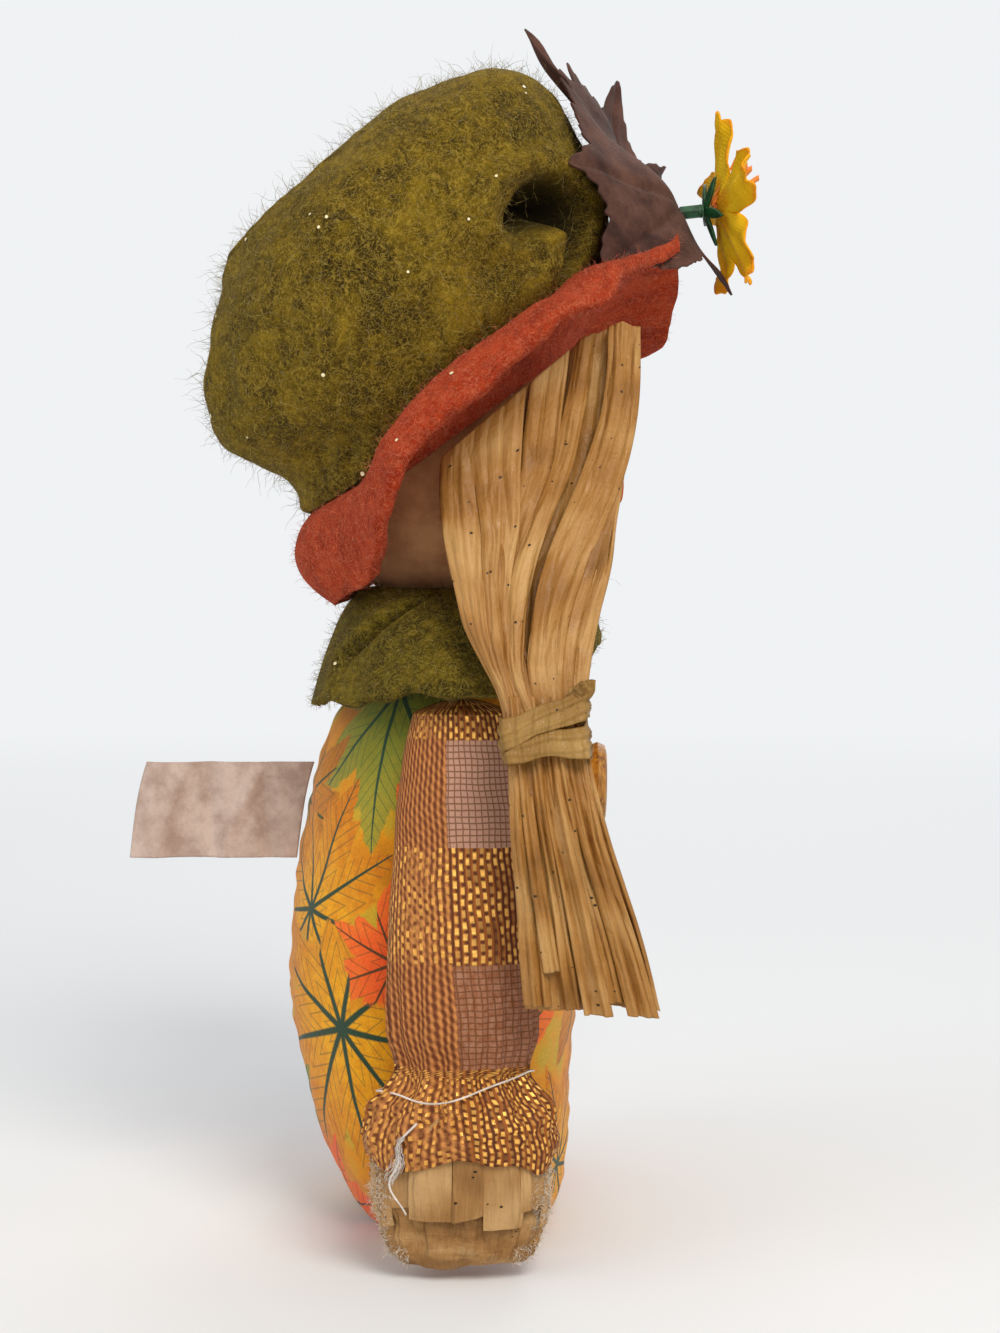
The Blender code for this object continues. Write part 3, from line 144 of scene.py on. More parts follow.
def wool_felt(name, dark, deep, middle, light, sheen, patch=9 * MM, folded=False):
    """Needle-felted wool: matted fibres of several dyes, mottled in patches, soft and without gloss,
    with painted shade deep in a fold when folded.
    """
    material, tree, shader = new_material(
        name, 0.95, Sheen_Weight=0.25, Sheen_Roughness=0.6, Sheen_Tint=linear(sheen),
        Specular_IOR_Level=0.15,
    )
    place = add(tree, "TexCoord").outputs["Object"]
    known = {
        "wide": add(tree, "TexNoise", {"Vector": place, "Scale": 1 / patch, "Detail": 3.0}),
        "small": add(tree, "TexNoise", {"Vector": place, "Scale": 3.4 / patch, "Detail": 7.0,
                                        "Roughness": 0.72, "Distortion": 0.5}),
        "heights": 0.0,
    }
    work_out(tree, known, (
        ("patches", "MULTIPLY_ADD", "wide", 0.55, "small"),
        ("colour", "STOPS", "patches", ((0.58, dark), (0.71, deep), (0.84, middle), (0.99, light))),
    ))
    # single fibres lie every way on the surface: each is the thin line where a twisted noise is halfway
    for size, twist, tone, amount in (
        (2.6 * MM, 2.0, sheen, 0.55), (1.1 * MM, 3.0, dark, 0.40), (1.6 * MM, 2.6, sheen, 0.60),
    ):
        known["waves"] = add(
            tree, "TexNoise",
            {"Vector": place, "W": amount * 20, "Scale": 1 / size, "Detail": 2.0,
             "Distortion": twist},
            noise_dimensions="4D",
        )
        work_out(tree, known, (
            ("off", "SUBTRACT", "waves", 0.5),
            ("off", "ABSOLUTE", "off"),
            ("fibre", "RANGE", "off", 0.0, 0.035, amount, 0.0),
            ("colour", "BLEND", "fibre", "colour", tone),
            ("heights", "ADD", "heights", "fibre"),
        ))
    if folded:
        # painted shade: the felt's colour darkens to near black deep in the fold, where the fold only
        # lies in shadow
        known["packed"] = add(tree, "Attribute", attribute_name="fold").outputs["Fac"]
        work_out(tree, known, (("colour", "BLEND", "packed", "colour", "#070502"),))
    soft = add(tree, "TexNoise", {"Vector": place, "Scale": 1 / (0.7 * MM), "Detail": 3.0})
    wear(tree, shader, known["colour"], (soft, 0.35 * MM, 0.8), (known["heights"], 0.2 * MM, 0.7))
    return material


def fibre_material(name, dark, light):
    """Loose wool fibres: the felt's own dyes, one beside the other."""
    material, tree, shader = new_material(name, 0.8, Sheen_Weight=0.2, Specular_IOR_Level=0.25)
    place = add(tree, "TexCoord").outputs["Object"]
    tints = add(tree, "TexNoise", {"Vector": place, "Scale": 1 / (1.2 * MM), "Detail": 1.0})
    wear(tree, shader, add(tree, "ValToRGB", {0: tints}, ((0.40, dark), (0.62, light))).outputs[0])
    return material


def weave_height(tree, place, pitch, across=0, up=1):
    """Plain weave: threads over and under each other, from two crossed waves. Height from 0 to 1."""
    parts = add(tree, "SeparateXYZ", {0: place}).outputs
    return work_out(tree, {"across": parts[across], "up": parts[up]}, (
        ("warp", "MULTIPLY", "across", math.pi / pitch),
        ("warp", "SINE", "warp"),
        ("weft", "MULTIPLY", "up", math.pi / pitch),
        ("weft", "SINE", "weft"),
        ("crossed", "MULTIPLY", "warp", "weft"),
        ("weave", "RANGE", "crossed", -1.0, 1.0),
    ))["weave"]


# A printed leaf's reach, from its tip round half a turn to its stalk, and how it is worked out
PRINT_OUTLINE = (
    (0.00, 1.00), (0.05, 0.74), (0.08, 0.78), (0.13, 0.50), (0.19, 0.72), (0.235, 0.95),
    (0.28, 0.66), (0.33, 0.68), (0.40, 0.42), (0.47, 0.66), (0.52, 0.80), (0.57, 0.56),
    (0.66, 0.40), (0.74, 0.56), (0.82, 0.36), (0.93, 0.20), (1.00, 0.10),
)
PRINT_STEPS = (
    ("angle", "ARCTAN2", "aside", "ahead"),
    ("angle", "ABSOLUTE", "angle"),
    ("out", "DIVIDE", "radius", "Size"),
    ("half_turn", "DIVIDE", "angle", math.pi),
    ("reach", "STOPS", "half_turn", PRINT_OUTLINE),
    ("reach", "ADD", "reach", 0.08),
    ("ragged", "MULTIPLY_ADD", "wobble", 0.16, "out"),
    ("inside", "SUBTRACT", "reach", "ragged"),
    ("mask", "RANGE", "inside", 0.0, 0.03),
    # main veins stand a ninth of a turn apart, as in a maple leaf, and thin towards the edge
    ("off_vein", "PINGPONG", "angle", math.pi / 9),
    ("from_vein", "SINE", "off_vein"),
    ("from_vein", "MULTIPLY", "from_vein", "radius"),
    ("thin", "SUBTRACT", 1.15, "out"),
    ("vein_edge", "MULTIPLY", "Vein width", "thin"),
    ("vein_heart", "MULTIPLY", "vein_edge", 0.55),
    ("main_vein", "RANGE", "from_vein", "vein_heart", "vein_edge", 1.0, 0.0),
    # side veins leave the main ones forwards, 2.6 mm apart
    ("along", "COSINE", "off_vein"),
    ("along", "MULTIPLY", "along", "radius"),
    ("lag", "MULTIPLY", "from_vein", 1.2),
    ("slant", "SUBTRACT", "along", "lag"),
    ("side_vein", "PINGPONG", "slant", 1.3),
    ("side_vein", "RANGE", "side_vein", 0.08, 0.26, 0.5, 0.0),
    ("tint", "ADD", "out", "wobble"),
    ("tint", "RANGE", "tint", 0.55, 1.25),
    ("blade", "BLEND", "tint", "Heart", "Edge"),
    ("blade", "BLEND", "side_vein", "blade", "Vein"),
    ("blade", "BLEND", "main_vein", "blade", "Vein"),
    ("laid", "BLEND", "mask", "Below", "blade"),
)


def leaf_print_group():
    """One printed maple leaf on what lies below it: outline, tinted blade, main veins and side veins."""
    group = bpy.data.node_groups.new("printed_leaf", "ShaderNodeTree")
    for kind, names in (
        ("NodeSocketVector", ("Place", "Centre", "Turn")),
        ("NodeSocketFloat", ("Size", "Vein width")),
        ("NodeSocketColor", ("Below", "Heart", "Edge", "Vein")),
    ):
        for name in names:
            group.interface.new_socket(name, in_out="INPUT", socket_type=kind)
    group.interface.new_socket("Colour", in_out="OUTPUT", socket_type="NodeSocketColor")
    given = group.nodes.new("NodeGroupInput").outputs
    shown = group.nodes.new("NodeGroupOutput")
    off = add(group, "VectorMath", {0: given["Place"], 1: given["Centre"]}, operation="SUBTRACT")
    turned = add(
        group, "VectorRotate", {"Vector": off, "Rotation": given["Turn"]}, rotation_type="EULER_XYZ"
    )
    known = {socket.name: socket for socket in given if socket.name}
    known["aside"], known["ahead"], _ = add(group, "SeparateXYZ", {0: turned}).outputs
    known["wobble"] = add(group, "TexNoise", {"Vector": given["Place"], "Scale": 0.45, "Detail": 3.0})
    known["radius"] = add(group, "VectorMath", {0: turned}, operation="LENGTH").outputs["Value"]
    work_out(group, known, PRINT_STEPS)
    group.links.new(known["laid"], shown.inputs["Colour"])
    return group


# Colours of the printed leaves: heart, edge and veins
GOLD = ("#F0A800", "#D07800", "#23402A")
AMBER = ("#D98A00", "#B86A00", "#3A4A1E")
FLAME = ("#F2541C", "#F0701E", "#5A3A18")
ORANGE = ("#E87A10", "#EE5A18", "#4A3A1A")
MOSS = ("#7E8A2A", "#A0922A", "#2C4A30")
# where the printed leaves lie on one side's cloth, in millimetres from the back seam and the foot:
# across, up, turn in degrees, size in millimetres, and colours
PRINT_LEAVES = (
    (8, 20, 200, 22, MOSS), (86, 66, 160, 22, MOSS), (30, 92, 175, 30, MOSS),
    (6, 70, 140, 24, AMBER), (62, 30, 300, 26, ORANGE), (80, 8, 20, 20, GOLD),
    (46, 64, 92, 27, FLAME), (18, 52, 20, 26, GOLD), (70, 84, 60, 22, FLAME),
    (88, 40, 120, 24, AMBER), (64, 56, 215, 21, GOLD), (40, 45, 250, 17, FLAME),
    (28, 33, 215, 34, GOLD), (54, 10, 330, 22, FLAME), (10, 2, 80, 17, ORANGE),
)
VEIN_SHARE = 0.021


def printed_cotton():
    """Quilting cotton, plain weave, printed with autumn leaves: matt, with soft edges to its inks."""
    material, tree, shader = new_material(
        "printed_quilting_cotton", 0.85, Sheen_Weight=0.15, Specular_IOR_Level=0.3
    )
    cloth = add(tree, "UVMap", uv_map="cloth").outputs["UV"]
    ground = add(tree, "TexNoise", {"Vector": cloth, "Scale": 0.09, "Detail": 3.0})
    colour = add(
        tree, "ValToRGB", {0: ground}, ((0.35, "#C87A00"), (0.5, "#E09000"), (0.62, "#C8A020"))
    ).outputs[0]
    group = leaf_print_group()
    for across, up, turn, size, (heart, edge, vein) in PRINT_LEAVES:
        colour = add(tree, "Group", {
            "Place": cloth, "Centre": (across, up, 0), "Turn": (0, 0, math.radians(turn)),
            "Size": size, "Vein width": VEIN_SHARE * size, "Below": colour,
            "Heart": linear(heart), "Edge": linear(edge), "Vein": linear(vein),
        }, node_tree=group).outputs[0]
    # ink sinks unevenly into the yarns
    speckle = add(tree, "TexNoise", {"Vector": cloth, "Scale": 1.9, "Detail": 2.0})
    known = work_out(tree, {"speckle": speckle}, (("level", "RANGE", "speckle", 0.3, 0.7, 0.88, 1.08),))
    inked = add(tree, "VectorMath", {0: colour, "Scale": known["level"]}, operation="SCALE")
    # yarns are 0.25 mm apart: drawn at 0.4 mm
    wear(tree, shader, inked.outputs[0], (weave_height(tree, cloth, 0.4), 0.06 * MM, 0.7))
    return material


def raffia(name, dark, middle, light, gloss=0.45):
    """Paper raffia: tan kraft strips with fine lengthwise grain, crumples, pin specks and waxy spots."""
    material, tree, shader = new_material(name, gloss, Specular_IOR_Level=0.28)
    strip = add(tree, "UVMap", uv_map="cloth").outputs["UV"]
    drawn = add(tree, "VectorMath", {0: strip, 1: (1, 0.06, 1)}, operation="MULTIPLY").outputs[0]
    known = {
        name: add(tree, "TexNoise", {"Vector": place, "Scale": scale, "Detail": detail, **more})
        for name, place, scale, detail, more in (
            ("grain", drawn, 3.2, 4.0, {"Roughness": 0.6}),
            ("clouds", strip, 0.07, 2.0, {"Roughness": 0.5}),
            ("herd", strip, 0.09, 1.0, {}),
            ("waxy", strip, 0.42, 5.0, {"Distortion": 0.5}),
            ("crumple", strip, 0.30, 4.0, {"Roughness": 0.6}),
            ("bent", strip, 0.12, 1.0, {}),
        )
    }
    # pin specks, about 0.3 mm across, lie here and there in clusters
    cells = add(tree, "TexVoronoi", {"Vector": strip, "Scale": 0.62, "Randomness": 1.0}, feature="F1")
    known["off_pin"] = cells.outputs["Distance"]
    known["luck"] = add(tree, "SeparateColor", {0: cells.outputs["Color"]})
    # sharp creases run lengthwise and cross at long slants
    long = add(tree, "VectorMath", {0: strip, 1: (0.42, 0.045, 1)}, operation="MULTIPLY")
    long = add(
        tree, "VectorMath", {0: known["bent"].outputs["Color"], 1: (0.5, 0.2, 0), 2: long},
        operation="MULTIPLY_ADD",
    )
    known["off_crease"] = add(
        tree, "TexVoronoi", {"Vector": long, "Scale": 1.0}, feature="DISTANCE_TO_EDGE"
    )
    work_out(tree, known, (
        ("both", "MULTIPLY_ADD", "grain", 0.36, "clouds"),
        ("colour", "STOPS", "both", ((0.42, dark), (0.66, middle), (0.88, light))),
        ("chance", "MULTIPLY_ADD", "herd", 1.4, "luck"),
        ("wide", "RANGE", "chance", 1.28, 1.5, 0.0, 0.13),
        ("speck", "LESS_THAN", "off_pin", "wide"),
        ("colour", "BLEND", "speck", "colour", "#38240E"),
        ("shine", "RANGE", "waxy", 0.54, 0.66, gloss, 0.25),
        ("crease", "RANGE", "off_crease", 0.0, 0.16),
    ))
    wear(
        tree, shader, known["colour"], (known["crumple"], 1.0 * MM, 0.55),
        (known["crease"], 0.35 * MM, 0.7), (known["grain"], 0.12 * MM, 0.8),
        Roughness=known["shine"],
    )
    return material


# The ribbon's weave. Lengths are in millimetres: "across" and "along" follow its threads, and
# "height" runs up the sleeve from its hem.
RIBBON_STEPS = (
    # the plaid repeats every 30 mm across, cords then squares, and every 34.2 mm along
    ("slant", "MULTIPLY_ADD", "along", 0.05, "across"),
    ("column", "SUBTRACT", "slant", 2.6),
    ("column", "FLOORED_MODULO", "column", 30.0),
    ("in_cords", "RANGE", "column", 13.3, 13.7, 1.0, 0.0),
    ("row", "SUBTRACT", "along", 48.4),
    ("row", "FLOORED_MODULO", "row", 34.2),
    ("in_band", "RANGE", "row", 16.2, 16.6, 0.0, 1.0),
    # floats lie brickwise, closer in the cuff, where the thread draws the cloth together
    ("in_cuff", "RANGE", "height", 12.5, 14.5, 1.0, 0.0),
    ("float_width", "RANGE", "in_cuff", 0.0, 1.0, 1.02, 0.70),
    ("float_length", "RANGE", "in_cuff", 0.0, 1.0, 1.75, 1.12),
    ("float_across", "DIVIDE", "slant", "float_width"),
    ("float_column", "FLOOR", "float_across"),
    ("float_along", "DIVIDE", "along", "float_length"),
    ("float_along", "MULTIPLY_ADD", "float_column", 0.5, "float_along"),
    ("float_row", "FLOOR", "float_along"),
    ("luck", "MULTIPLY", "float_row", 78.233),
    ("luck", "MULTIPLY_ADD", "float_column", 12.9898, "luck"),
    ("luck", "SINE", "luck"),
    ("luck", "MULTIPLY", "luck", 4375.85),
    ("luck", "FRACT", "luck"),
    ("aside", "FRACT", "float_across"),
    ("aside", "SUBTRACT", "aside", 0.5),
    ("aside", "ABSOLUTE", "aside"),
    ("aside", "RANGE", "aside", 0.22, 0.36, 1.0, 0.0),
    ("beyond", "FRACT", "float_along"),
    ("beyond", "SUBTRACT", "beyond", 0.5),
    ("beyond", "ABSOLUTE", "beyond"),
    ("beyond", "RANGE", "beyond", 0.24, 0.40, 1.0, 0.0),
    ("dash", "MULTIPLY", "aside", "beyond"),
    ("chance", "MULTIPLY_ADD", "patchy", 1.3, "luck"),
    ("chance", "RANGE", "chance", 0.70, 1.35, 0.10, 1.0),
    ("floats", "MULTIPLY", "dash", "chance"),
    ("band_floats", "MULTIPLY", "floats", "in_band"),
    # cords: 0.92 mm apart, each of two strands twisted round each other; over a random tone, their
    # colour is painted dark in the grooves and light on each strand's crown, painted shade and highlight
    ("twist", "MULTIPLY", "slant", 4.0),
    ("twist", "MULTIPLY_ADD", "along", 4.19, "twist"),
    ("twist", "SINE", "twist"),
    ("cord", "MULTIPLY_ADD", "slant", 6.83, 0.6),
    ("cord", "SINE", "cord"),
    ("ply", "MULTIPLY", "cord", 0.65),
    ("ply", "MULTIPLY_ADD", "twist", 0.35, "ply"),
    ("cord_light", "MULTIPLY_ADD", "strand", 1.6, "ply"),
    ("cord_light", "RANGE", "cord_light", 0.25, 1.75),
    ("cords", "BLEND", "cord_light", "#6A3210", "#CC8444"),
    # gauze: fine brown threads over a pink ground, browner lower down
    ("fine", "MULTIPLY", "slant", 6.61),
    ("fine", "SINE", "fine"),
    ("fine", "RANGE", "fine", 0.66, 0.94),
    ("weft", "MULTIPLY", "along", 6.41),
    ("weft", "SINE", "weft"),
    ("weft", "RANGE", "weft", 0.60, 0.92),
    ("grid", "MAXIMUM", "fine", "weft"),
    ("upper", "RANGE", "height", 30.0, 34.0),
    ("ground", "BLEND", "upper", "#8E5430", "#B88A72"),
    ("paler", "RANGE", "strand", 0.35, 0.65, 0.0, 0.35),
    ("ground", "BLEND", "paler", "ground", "#C49A80"),
    ("thread", "MULTIPLY", "grid", 0.75),
    ("gauze", "BLEND", "thread", "ground", "#64340F"),
    # painted shade and highlight: over a random tone, the band's ground is lighter on each thread's
    # crown and darker between threads
    ("band_light", "ADD", "cord", "strand"),
    ("band_light", "RANGE", "band_light", 0.1, 1.4),
    ("band", "BLEND", "band_light", "#5C280A", "#9A541A"),
    ("band", "BLEND", "floats", "band", "#FFBE5C"),
    ("squares", "BLEND", "in_band", "gauze", "band"),
    ("small_floats", "MULTIPLY", "band_floats", 0.85),
    ("cords", "BLEND", "small_floats", "cords", "#F6B254"),
    ("colour", "BLEND", "in_cords", "squares", "cords"),
    ("metal", "MULTIPLY", "band_floats", 0.4),
    ("gloss", "RANGE", "band_floats", 0.0, 1.0, 0.65, 0.3),
    ("relief", "MAXIMUM", "in_cords", 0.3),
    ("relief", "MULTIPLY", "ply", "relief"),
    ("relief", "MULTIPLY", "relief", 0.5),
    ("relief", "MULTIPLY_ADD", "band_floats", 1.4, "relief"),
    ("relief", "MULTIPLY_ADD", "grid", 0.2, "relief"),
)


def copper_ribbon():
    """Woven novelty ribbon: copper warp cords, glinting vertical floats and open pink gauze squares."""
    material, tree, shader = new_material("copper_metallic_ribbon", 0.5, Specular_IOR_Level=0.3)
    cloth = add(tree, "UVMap", uv_map="cloth").outputs["UV"]
    # threads aren't drawn quite straight
    sway = add(tree, "TexNoise", {"Vector": cloth, "Scale": 0.16, "Detail": 2.0})
    drawn = add(
        tree, "VectorMath", {0: sway.outputs["Color"], 1: (1.0, 0.7, 0.0), 2: cloth},
        operation="MULTIPLY_ADD",
    )
    lengthwise = add(tree, "VectorMath", {0: drawn, 1: (1.0, 0.4, 1)}, operation="MULTIPLY")
    known = {
        "height": add(tree, "SeparateXYZ", {0: cloth}).outputs[1],
        "patchy": sway,
        "strand": add(tree, "TexNoise", {"Vector": lengthwise, "Scale": 1.6, "Detail": 3.0}),
    }
    known["across"], known["along"], _ = add(tree, "SeparateXYZ", {0: drawn}).outputs
    work_out(tree, known, RIBBON_STEPS)
    wear(
        tree, shader, known["colour"], (known["relief"], 0.2 * MM, 0.9),
        Metallic=known["metal"], Roughness=known["gloss"],
    )
    return material


def plain_cloth(name, dark, light, pitch=0.5 * MM, sheen=0.1, depth=0.08 * MM, patch=6 * MM):
    """Plain-woven cloth of one dye: threads cross evenly, with a little colour play between yarns."""
    material, tree, shader = new_material(name, 0.85, Sheen_Weight=sheen, Specular_IOR_Level=0.3)
    place = add(tree, "TexCoord").outputs["Object"]
    clouds = add(
        tree, "TexNoise", {"Vector": place, "Scale": 1 / patch, "Detail": 6.0, "Roughness": 0.7}
    )
    colour = add(tree, "ValToRGB", {0: clouds}, ((0.38, dark), (0.62, light))).outputs[0]
    wear(tree, shader, colour, (weave_height(tree, place, pitch, 1, 2), depth, 0.6))
    return material


def petal_cloth():
    """Yellow taffeta petals, each brushed with orange dye from its tip inwards."""
    material, tree, shader = new_material("yellow_taffeta_petal", 0.8, Specular_IOR_Level=0.3)
    cloth = add(tree, "UVMap", uv_map="cloth").outputs["UV"]
    known = work_out(tree, {
        "inwards": add(tree, "SeparateXYZ", {0: cloth}).outputs[1],
        "uneven": add(tree, "TexNoise", {"Vector": cloth, "Scale": 0.5, "Detail": 3.0}),
    }, (
        ("reach", "MULTIPLY_ADD", "uneven", -5.0, "inwards"),
        ("level", "RANGE", "reach", -3.0, 10.0),
        ("colour", "STOPS", "level",
         ((0.02, "#F29A0A"), (0.16, "#FBC408"), (0.80, "#FFD21E"), (1.0, "#EFA808"))),
    ))
    place = add(tree, "TexCoord").outputs["Object"]
    weave = weave_height(tree, place, 0.36 * MM, 1, 2)
    wear(tree, shader, known["colour"], (weave, 0.08 * MM, 0.6))
    return material


def moulded_plastic(name, dark, light, roughness):
    """Small injection-moulded plastic piece: even colour, a soft gloss and a faint waviness."""
    material, tree, shader = new_material(name, roughness)
    place = add(tree, "TexCoord").outputs["Object"]
    flow = add(tree, "TexNoise", {"Vector": place, "Scale": 1 / (1.5 * MM), "Detail": 2.0})
    colour = add(tree, "ValToRGB", {0: flow}, ((0.35, dark), (0.65, light))).outputs[0]
    wear(tree, shader, colour, (flow, 0.05 * MM, 0.4))
    return material


def turned_wood():
    """Lathe-turned beech, stained golden brown and waxed: grain lines along one way, a dull shine."""
    material, tree, shader = new_material("stained_turned_beech", 0.42)
    place = add(tree, "TexCoord").outputs["Object"]
    drawn = add(tree, "VectorMath", {0: place, 1: (1, 1, 0.12)}, operation="MULTIPLY")
    # beech grain is about 0.5 mm wide
    grain = add(
        tree, "TexNoise",
        {"Vector": drawn, "Scale": 1 / (0.6 * MM), "Detail": 4.0, "Distortion": 0.6},
    )
    colour = add(
        tree, "ValToRGB", {0: grain}, ((0.36, "#7A4A10"), (0.5, "#A86E1C"), (0.66, "#C08A34"))
    ).outputs[0]
    wear(tree, shader, colour, (grain, 0.05 * MM, 0.5))
    return material


def studio_floor(name, code, near, far):
    """Matt pale paper: it keeps the doll's shadow, and far off it fades into the backdrop."""
    material, tree, shader = new_material(name, 0.9)
    shader.inputs["Base Color"].default_value = linear(code)
    place = add(tree, "TexCoord").outputs["Object"]
    away = add(tree, "VectorMath", {0: place}, operation="LENGTH").outputs["Value"]
    fade = add(tree, "MapRange", {"Value": away, "From Min": near, "From Max": far})
    fade.interpolation_type = "SMOOTHSTEP"
    seen = add(tree, "LightPath").outputs["Is Camera Ray"]
    shown = add(tree, "Math", {0: fade.outputs[0], 1: seen}, operation="MULTIPLY").outputs[0]
    glow = add(tree, "Emission")
    glow.inputs["Color"].default_value = linear(code)
    both = add(tree, "MixShader", {0: shown, 1: shader.outputs[0], 2: glow.outputs[0]})
    tree.links.new(both.outputs[0], tree.nodes["Material Output"].inputs["Surface"])
    return material


STUDIO_PALE = "#F0F2F4"
OLIVE_FELT = wool_felt(
    "olive_wool_felt", "#1E1603", "#413107", "#65500A", "#8A6F18", "#B4973C", 10 * MM, True
)
COLLAR_FINISH = wool_felt(
    "olive_collar_felt", "#181303", "#352B07", "#554509", "#756214", "#9E8934", 8 * MM
)
ORANGE_FELT = wool_felt(
    "orange_wool_felt", "#761A08", "#94280E", "#AC3614", "#BE4826", "#D87450", 8 * MM
)
BASE_FELT = wool_felt("red_base_felt", "#3A0A06", "#5A120A", "#6E1A10", "#7E2618", "#9A4434")
OLIVE_FIBRE = fibre_material("loose_olive_wool", "#4A3A0A", "#B09A44")
ORANGE_FIBRE = fibre_material("loose_orange_wool", "#B43618", "#F08A68")
BROWN_FIBRE = fibre_material("loose_brown_fibre", "#5A3A20", "#B89064")
COTTON = printed_cotton()
HAIR_RAFFIA = raffia("tan_paper_raffia", "#7E5220", "#A67438", "#C4985C")
TIE_RAFFIA = raffia("tie_paper_raffia", "#6E4C1E", "#906A30", "#AE8A4C")
HAND_RAFFIA = raffia("hand_paper_raffia", "#7A5226", "#A27642", "#C29A66", 0.6)
FRAYED = fibre_material("frayed_paper_fibre", "#D8C4A8", "#F6ECDC")
RIBBON = copper_ribbon()
MUSLIN = plain_cloth("tan_muslin", "#A87048", "#C08A5A", 0.35 * MM)
WADDING = plain_cloth("white_polyester_wadding", "#DAD6CC", "#F0EEE8", 0.8 * MM)
LEAF_CLOTH = plain_cloth("plum_taffeta_leaf", "#341A12", "#624034", 0.36 * MM, 0.04, patch=10 * MM)
PETAL_CLOTH = petal_cloth()
CALYX = moulded_plastic("green_moulded_calyx", "#0E3A20", "#1E5A30", 0.45)
STAMEN = moulded_plastic("orange_moulded_stamen", "#D86A10", "#F0922A", 0.5)
BEAD = moulded_plastic("black_glass_bead", "#050505", "#0C0C0C", 0.08)
GLITTER = moulded_plastic("gold_glitter_flake", "#E8D8A0", "#FFF2C8", 0.15)
NOSE_FELT = wool_felt("orange_nose_felt", "#A03A10", "#C04A14", "#D05A1C", "#E07028", "#F09050")
MOUTH_COTTON = plain_cloth("stranded_red_cotton", "#4A120C", "#6A2014", 0.3 * MM)
WHITE_THREAD = plain_cloth("white_sewing_thread", "#C8BCB0", "#F0E8E0", 0.25 * MM)
WOOD = turned_wood()
TAG_RIBBON = plain_cloth("beige_satin_ribbon", "#AC9284", "#CDB6A8", 0.3 * MM, 0.15, 0.04 * MM)


# Mesh helpers


def smooth_table(rows, places):
    """Rows of a table read at places between them, along a smooth curve."""
    table = np.array(rows, float)
    at, values = table[:, 0], table[:, 1:]
    slopes = np.gradient(values, at, axis=0)
    places = np.clip(np.atleast_1d(places), at[0], at[-1])
    i = np.clip(np.searchsorted(at, places) - 1, 0, len(at) - 2)
    span = (at[i + 1] - at[i])[:, None]
    t = (places - at[i])[:, None] / span
    return (
        (2 * t**3 - 3 * t**2 + 1) * values[i]
        + (t**3 - 2 * t**2 + t) * span * slopes[i]
        + (3 * t**2 - 2 * t**3) * values[i + 1]
        + (t**3 - t**2) * span * slopes[i + 1]
    )


def lumps(points, size, offset=0.0):
    """Soft random swellings from -1 to 1, one value for each point."""
    flat = np.asarray(points).reshape(-1, 3) / size + offset
    values = [noise.noise(Vector(p)) for p in flat]
    return np.array(values).reshape(np.asarray(points).shape[:-1])


def xyz(x, y, z):
    """Points from their three places, which may be rows, columns or single numbers."""
    return np.stack(np.broadcast_arrays(x, y, z), -1)


def full_turn(count):
    """Turns all the way round, in even steps."""
    return np.linspace(0, 2 * math.pi, count, endpoint=False)


def units(vectors):
    """Vectors of length one."""
    return vectors / np.maximum(np.linalg.norm(vectors, axis=-1, keepdims=True), 1e-12)


def bell(distance, width):
    """1 at no distance, falling smoothly to 0 past the width."""
    return np.exp(-((distance / width) ** 2))


def grid_mesh(name, points, closed=False, span=(1.0, 1.0), start=(0.0, 0.0), caps=(False, False)):
    """A mesh through rows of points. Its UV map runs along the rows and over them, in millimetres."""
    rows, columns = points.shape[:2]
    across = columns if closed else columns - 1
    i, j = np.meshgrid(np.arange(rows - 1), np.arange(across), indexing="ij")
    i, j = i.ravel(), j.ravel()
    after = (j + 1) % columns
    low, high = i * columns, (i + 1) * columns
    corners = np.stack([low + j, low + after, high + after, high + j], 1)
    faces = corners.tolist()
    mesh = bpy.data.meshes.new(name)
    if caps[0]:
        faces.append(list(range(columns))[::-1])
    if caps[1]:
        faces.append([(rows - 1) * columns + k for k in range(columns)])
    mesh.from_pydata((points.reshape(-1, 3) * MM).tolist(), [], faces)
    layer = mesh.uv_layers.new(name="cloth")
    u = np.stack([j, j + 1, j + 1, j], 1) / across * span[0] + start[0]
    v = np.stack([i, i, i + 1, i + 1], 1) / (rows - 1) * span[1] + start[1]
    flat = np.zeros((len(mesh.loops), 2))
    flat[: corners.size, 0] = u.ravel()
    flat[: corners.size, 1] = v.ravel()
    layer.data.foreach_set("uv", flat.ravel())
    mesh.shade_smooth()
    return mesh


def face_out(mesh):
    """Turns the faces of a closed mesh outwards."""
    form = bmesh.new()
    form.from_mesh(mesh)
    bmesh.ops.recalc_face_normals(form, faces=form.faces)
    form.to_mesh(mesh)
    form.free()
    return mesh


def piece(name, mesh, finish, body, replaced=()):
    """A shown piece with its finish, on a body, in place of the solids it stands for."""
    made = bpy.data.objects.new(name, mesh)
    bpy.context.scene.collection.objects.link(made)
    mesh.materials.clear()
    mesh.materials.append(finish)
    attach(made, body)
    if replaced:
        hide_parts(*replaced)
    return made


def thicken(made, thickness, offset=0.0):
    """A sheet's own thickness, as closed cloth."""
    shell = made.modifiers.new("thickness", "SOLIDIFY")
    shell.thickness = thickness * MM
    shell.offset = offset
    shell.use_even_offset = False
    return made


def joined(name, meshes):
    """Several meshes as one."""
    form = bmesh.new()
    for mesh in meshes:
        form.from_mesh(mesh)
        bpy.data.meshes.remove(mesh)
    whole = bpy.data.meshes.new(name)
    form.to_mesh(whole)
    form.free()
    return whole


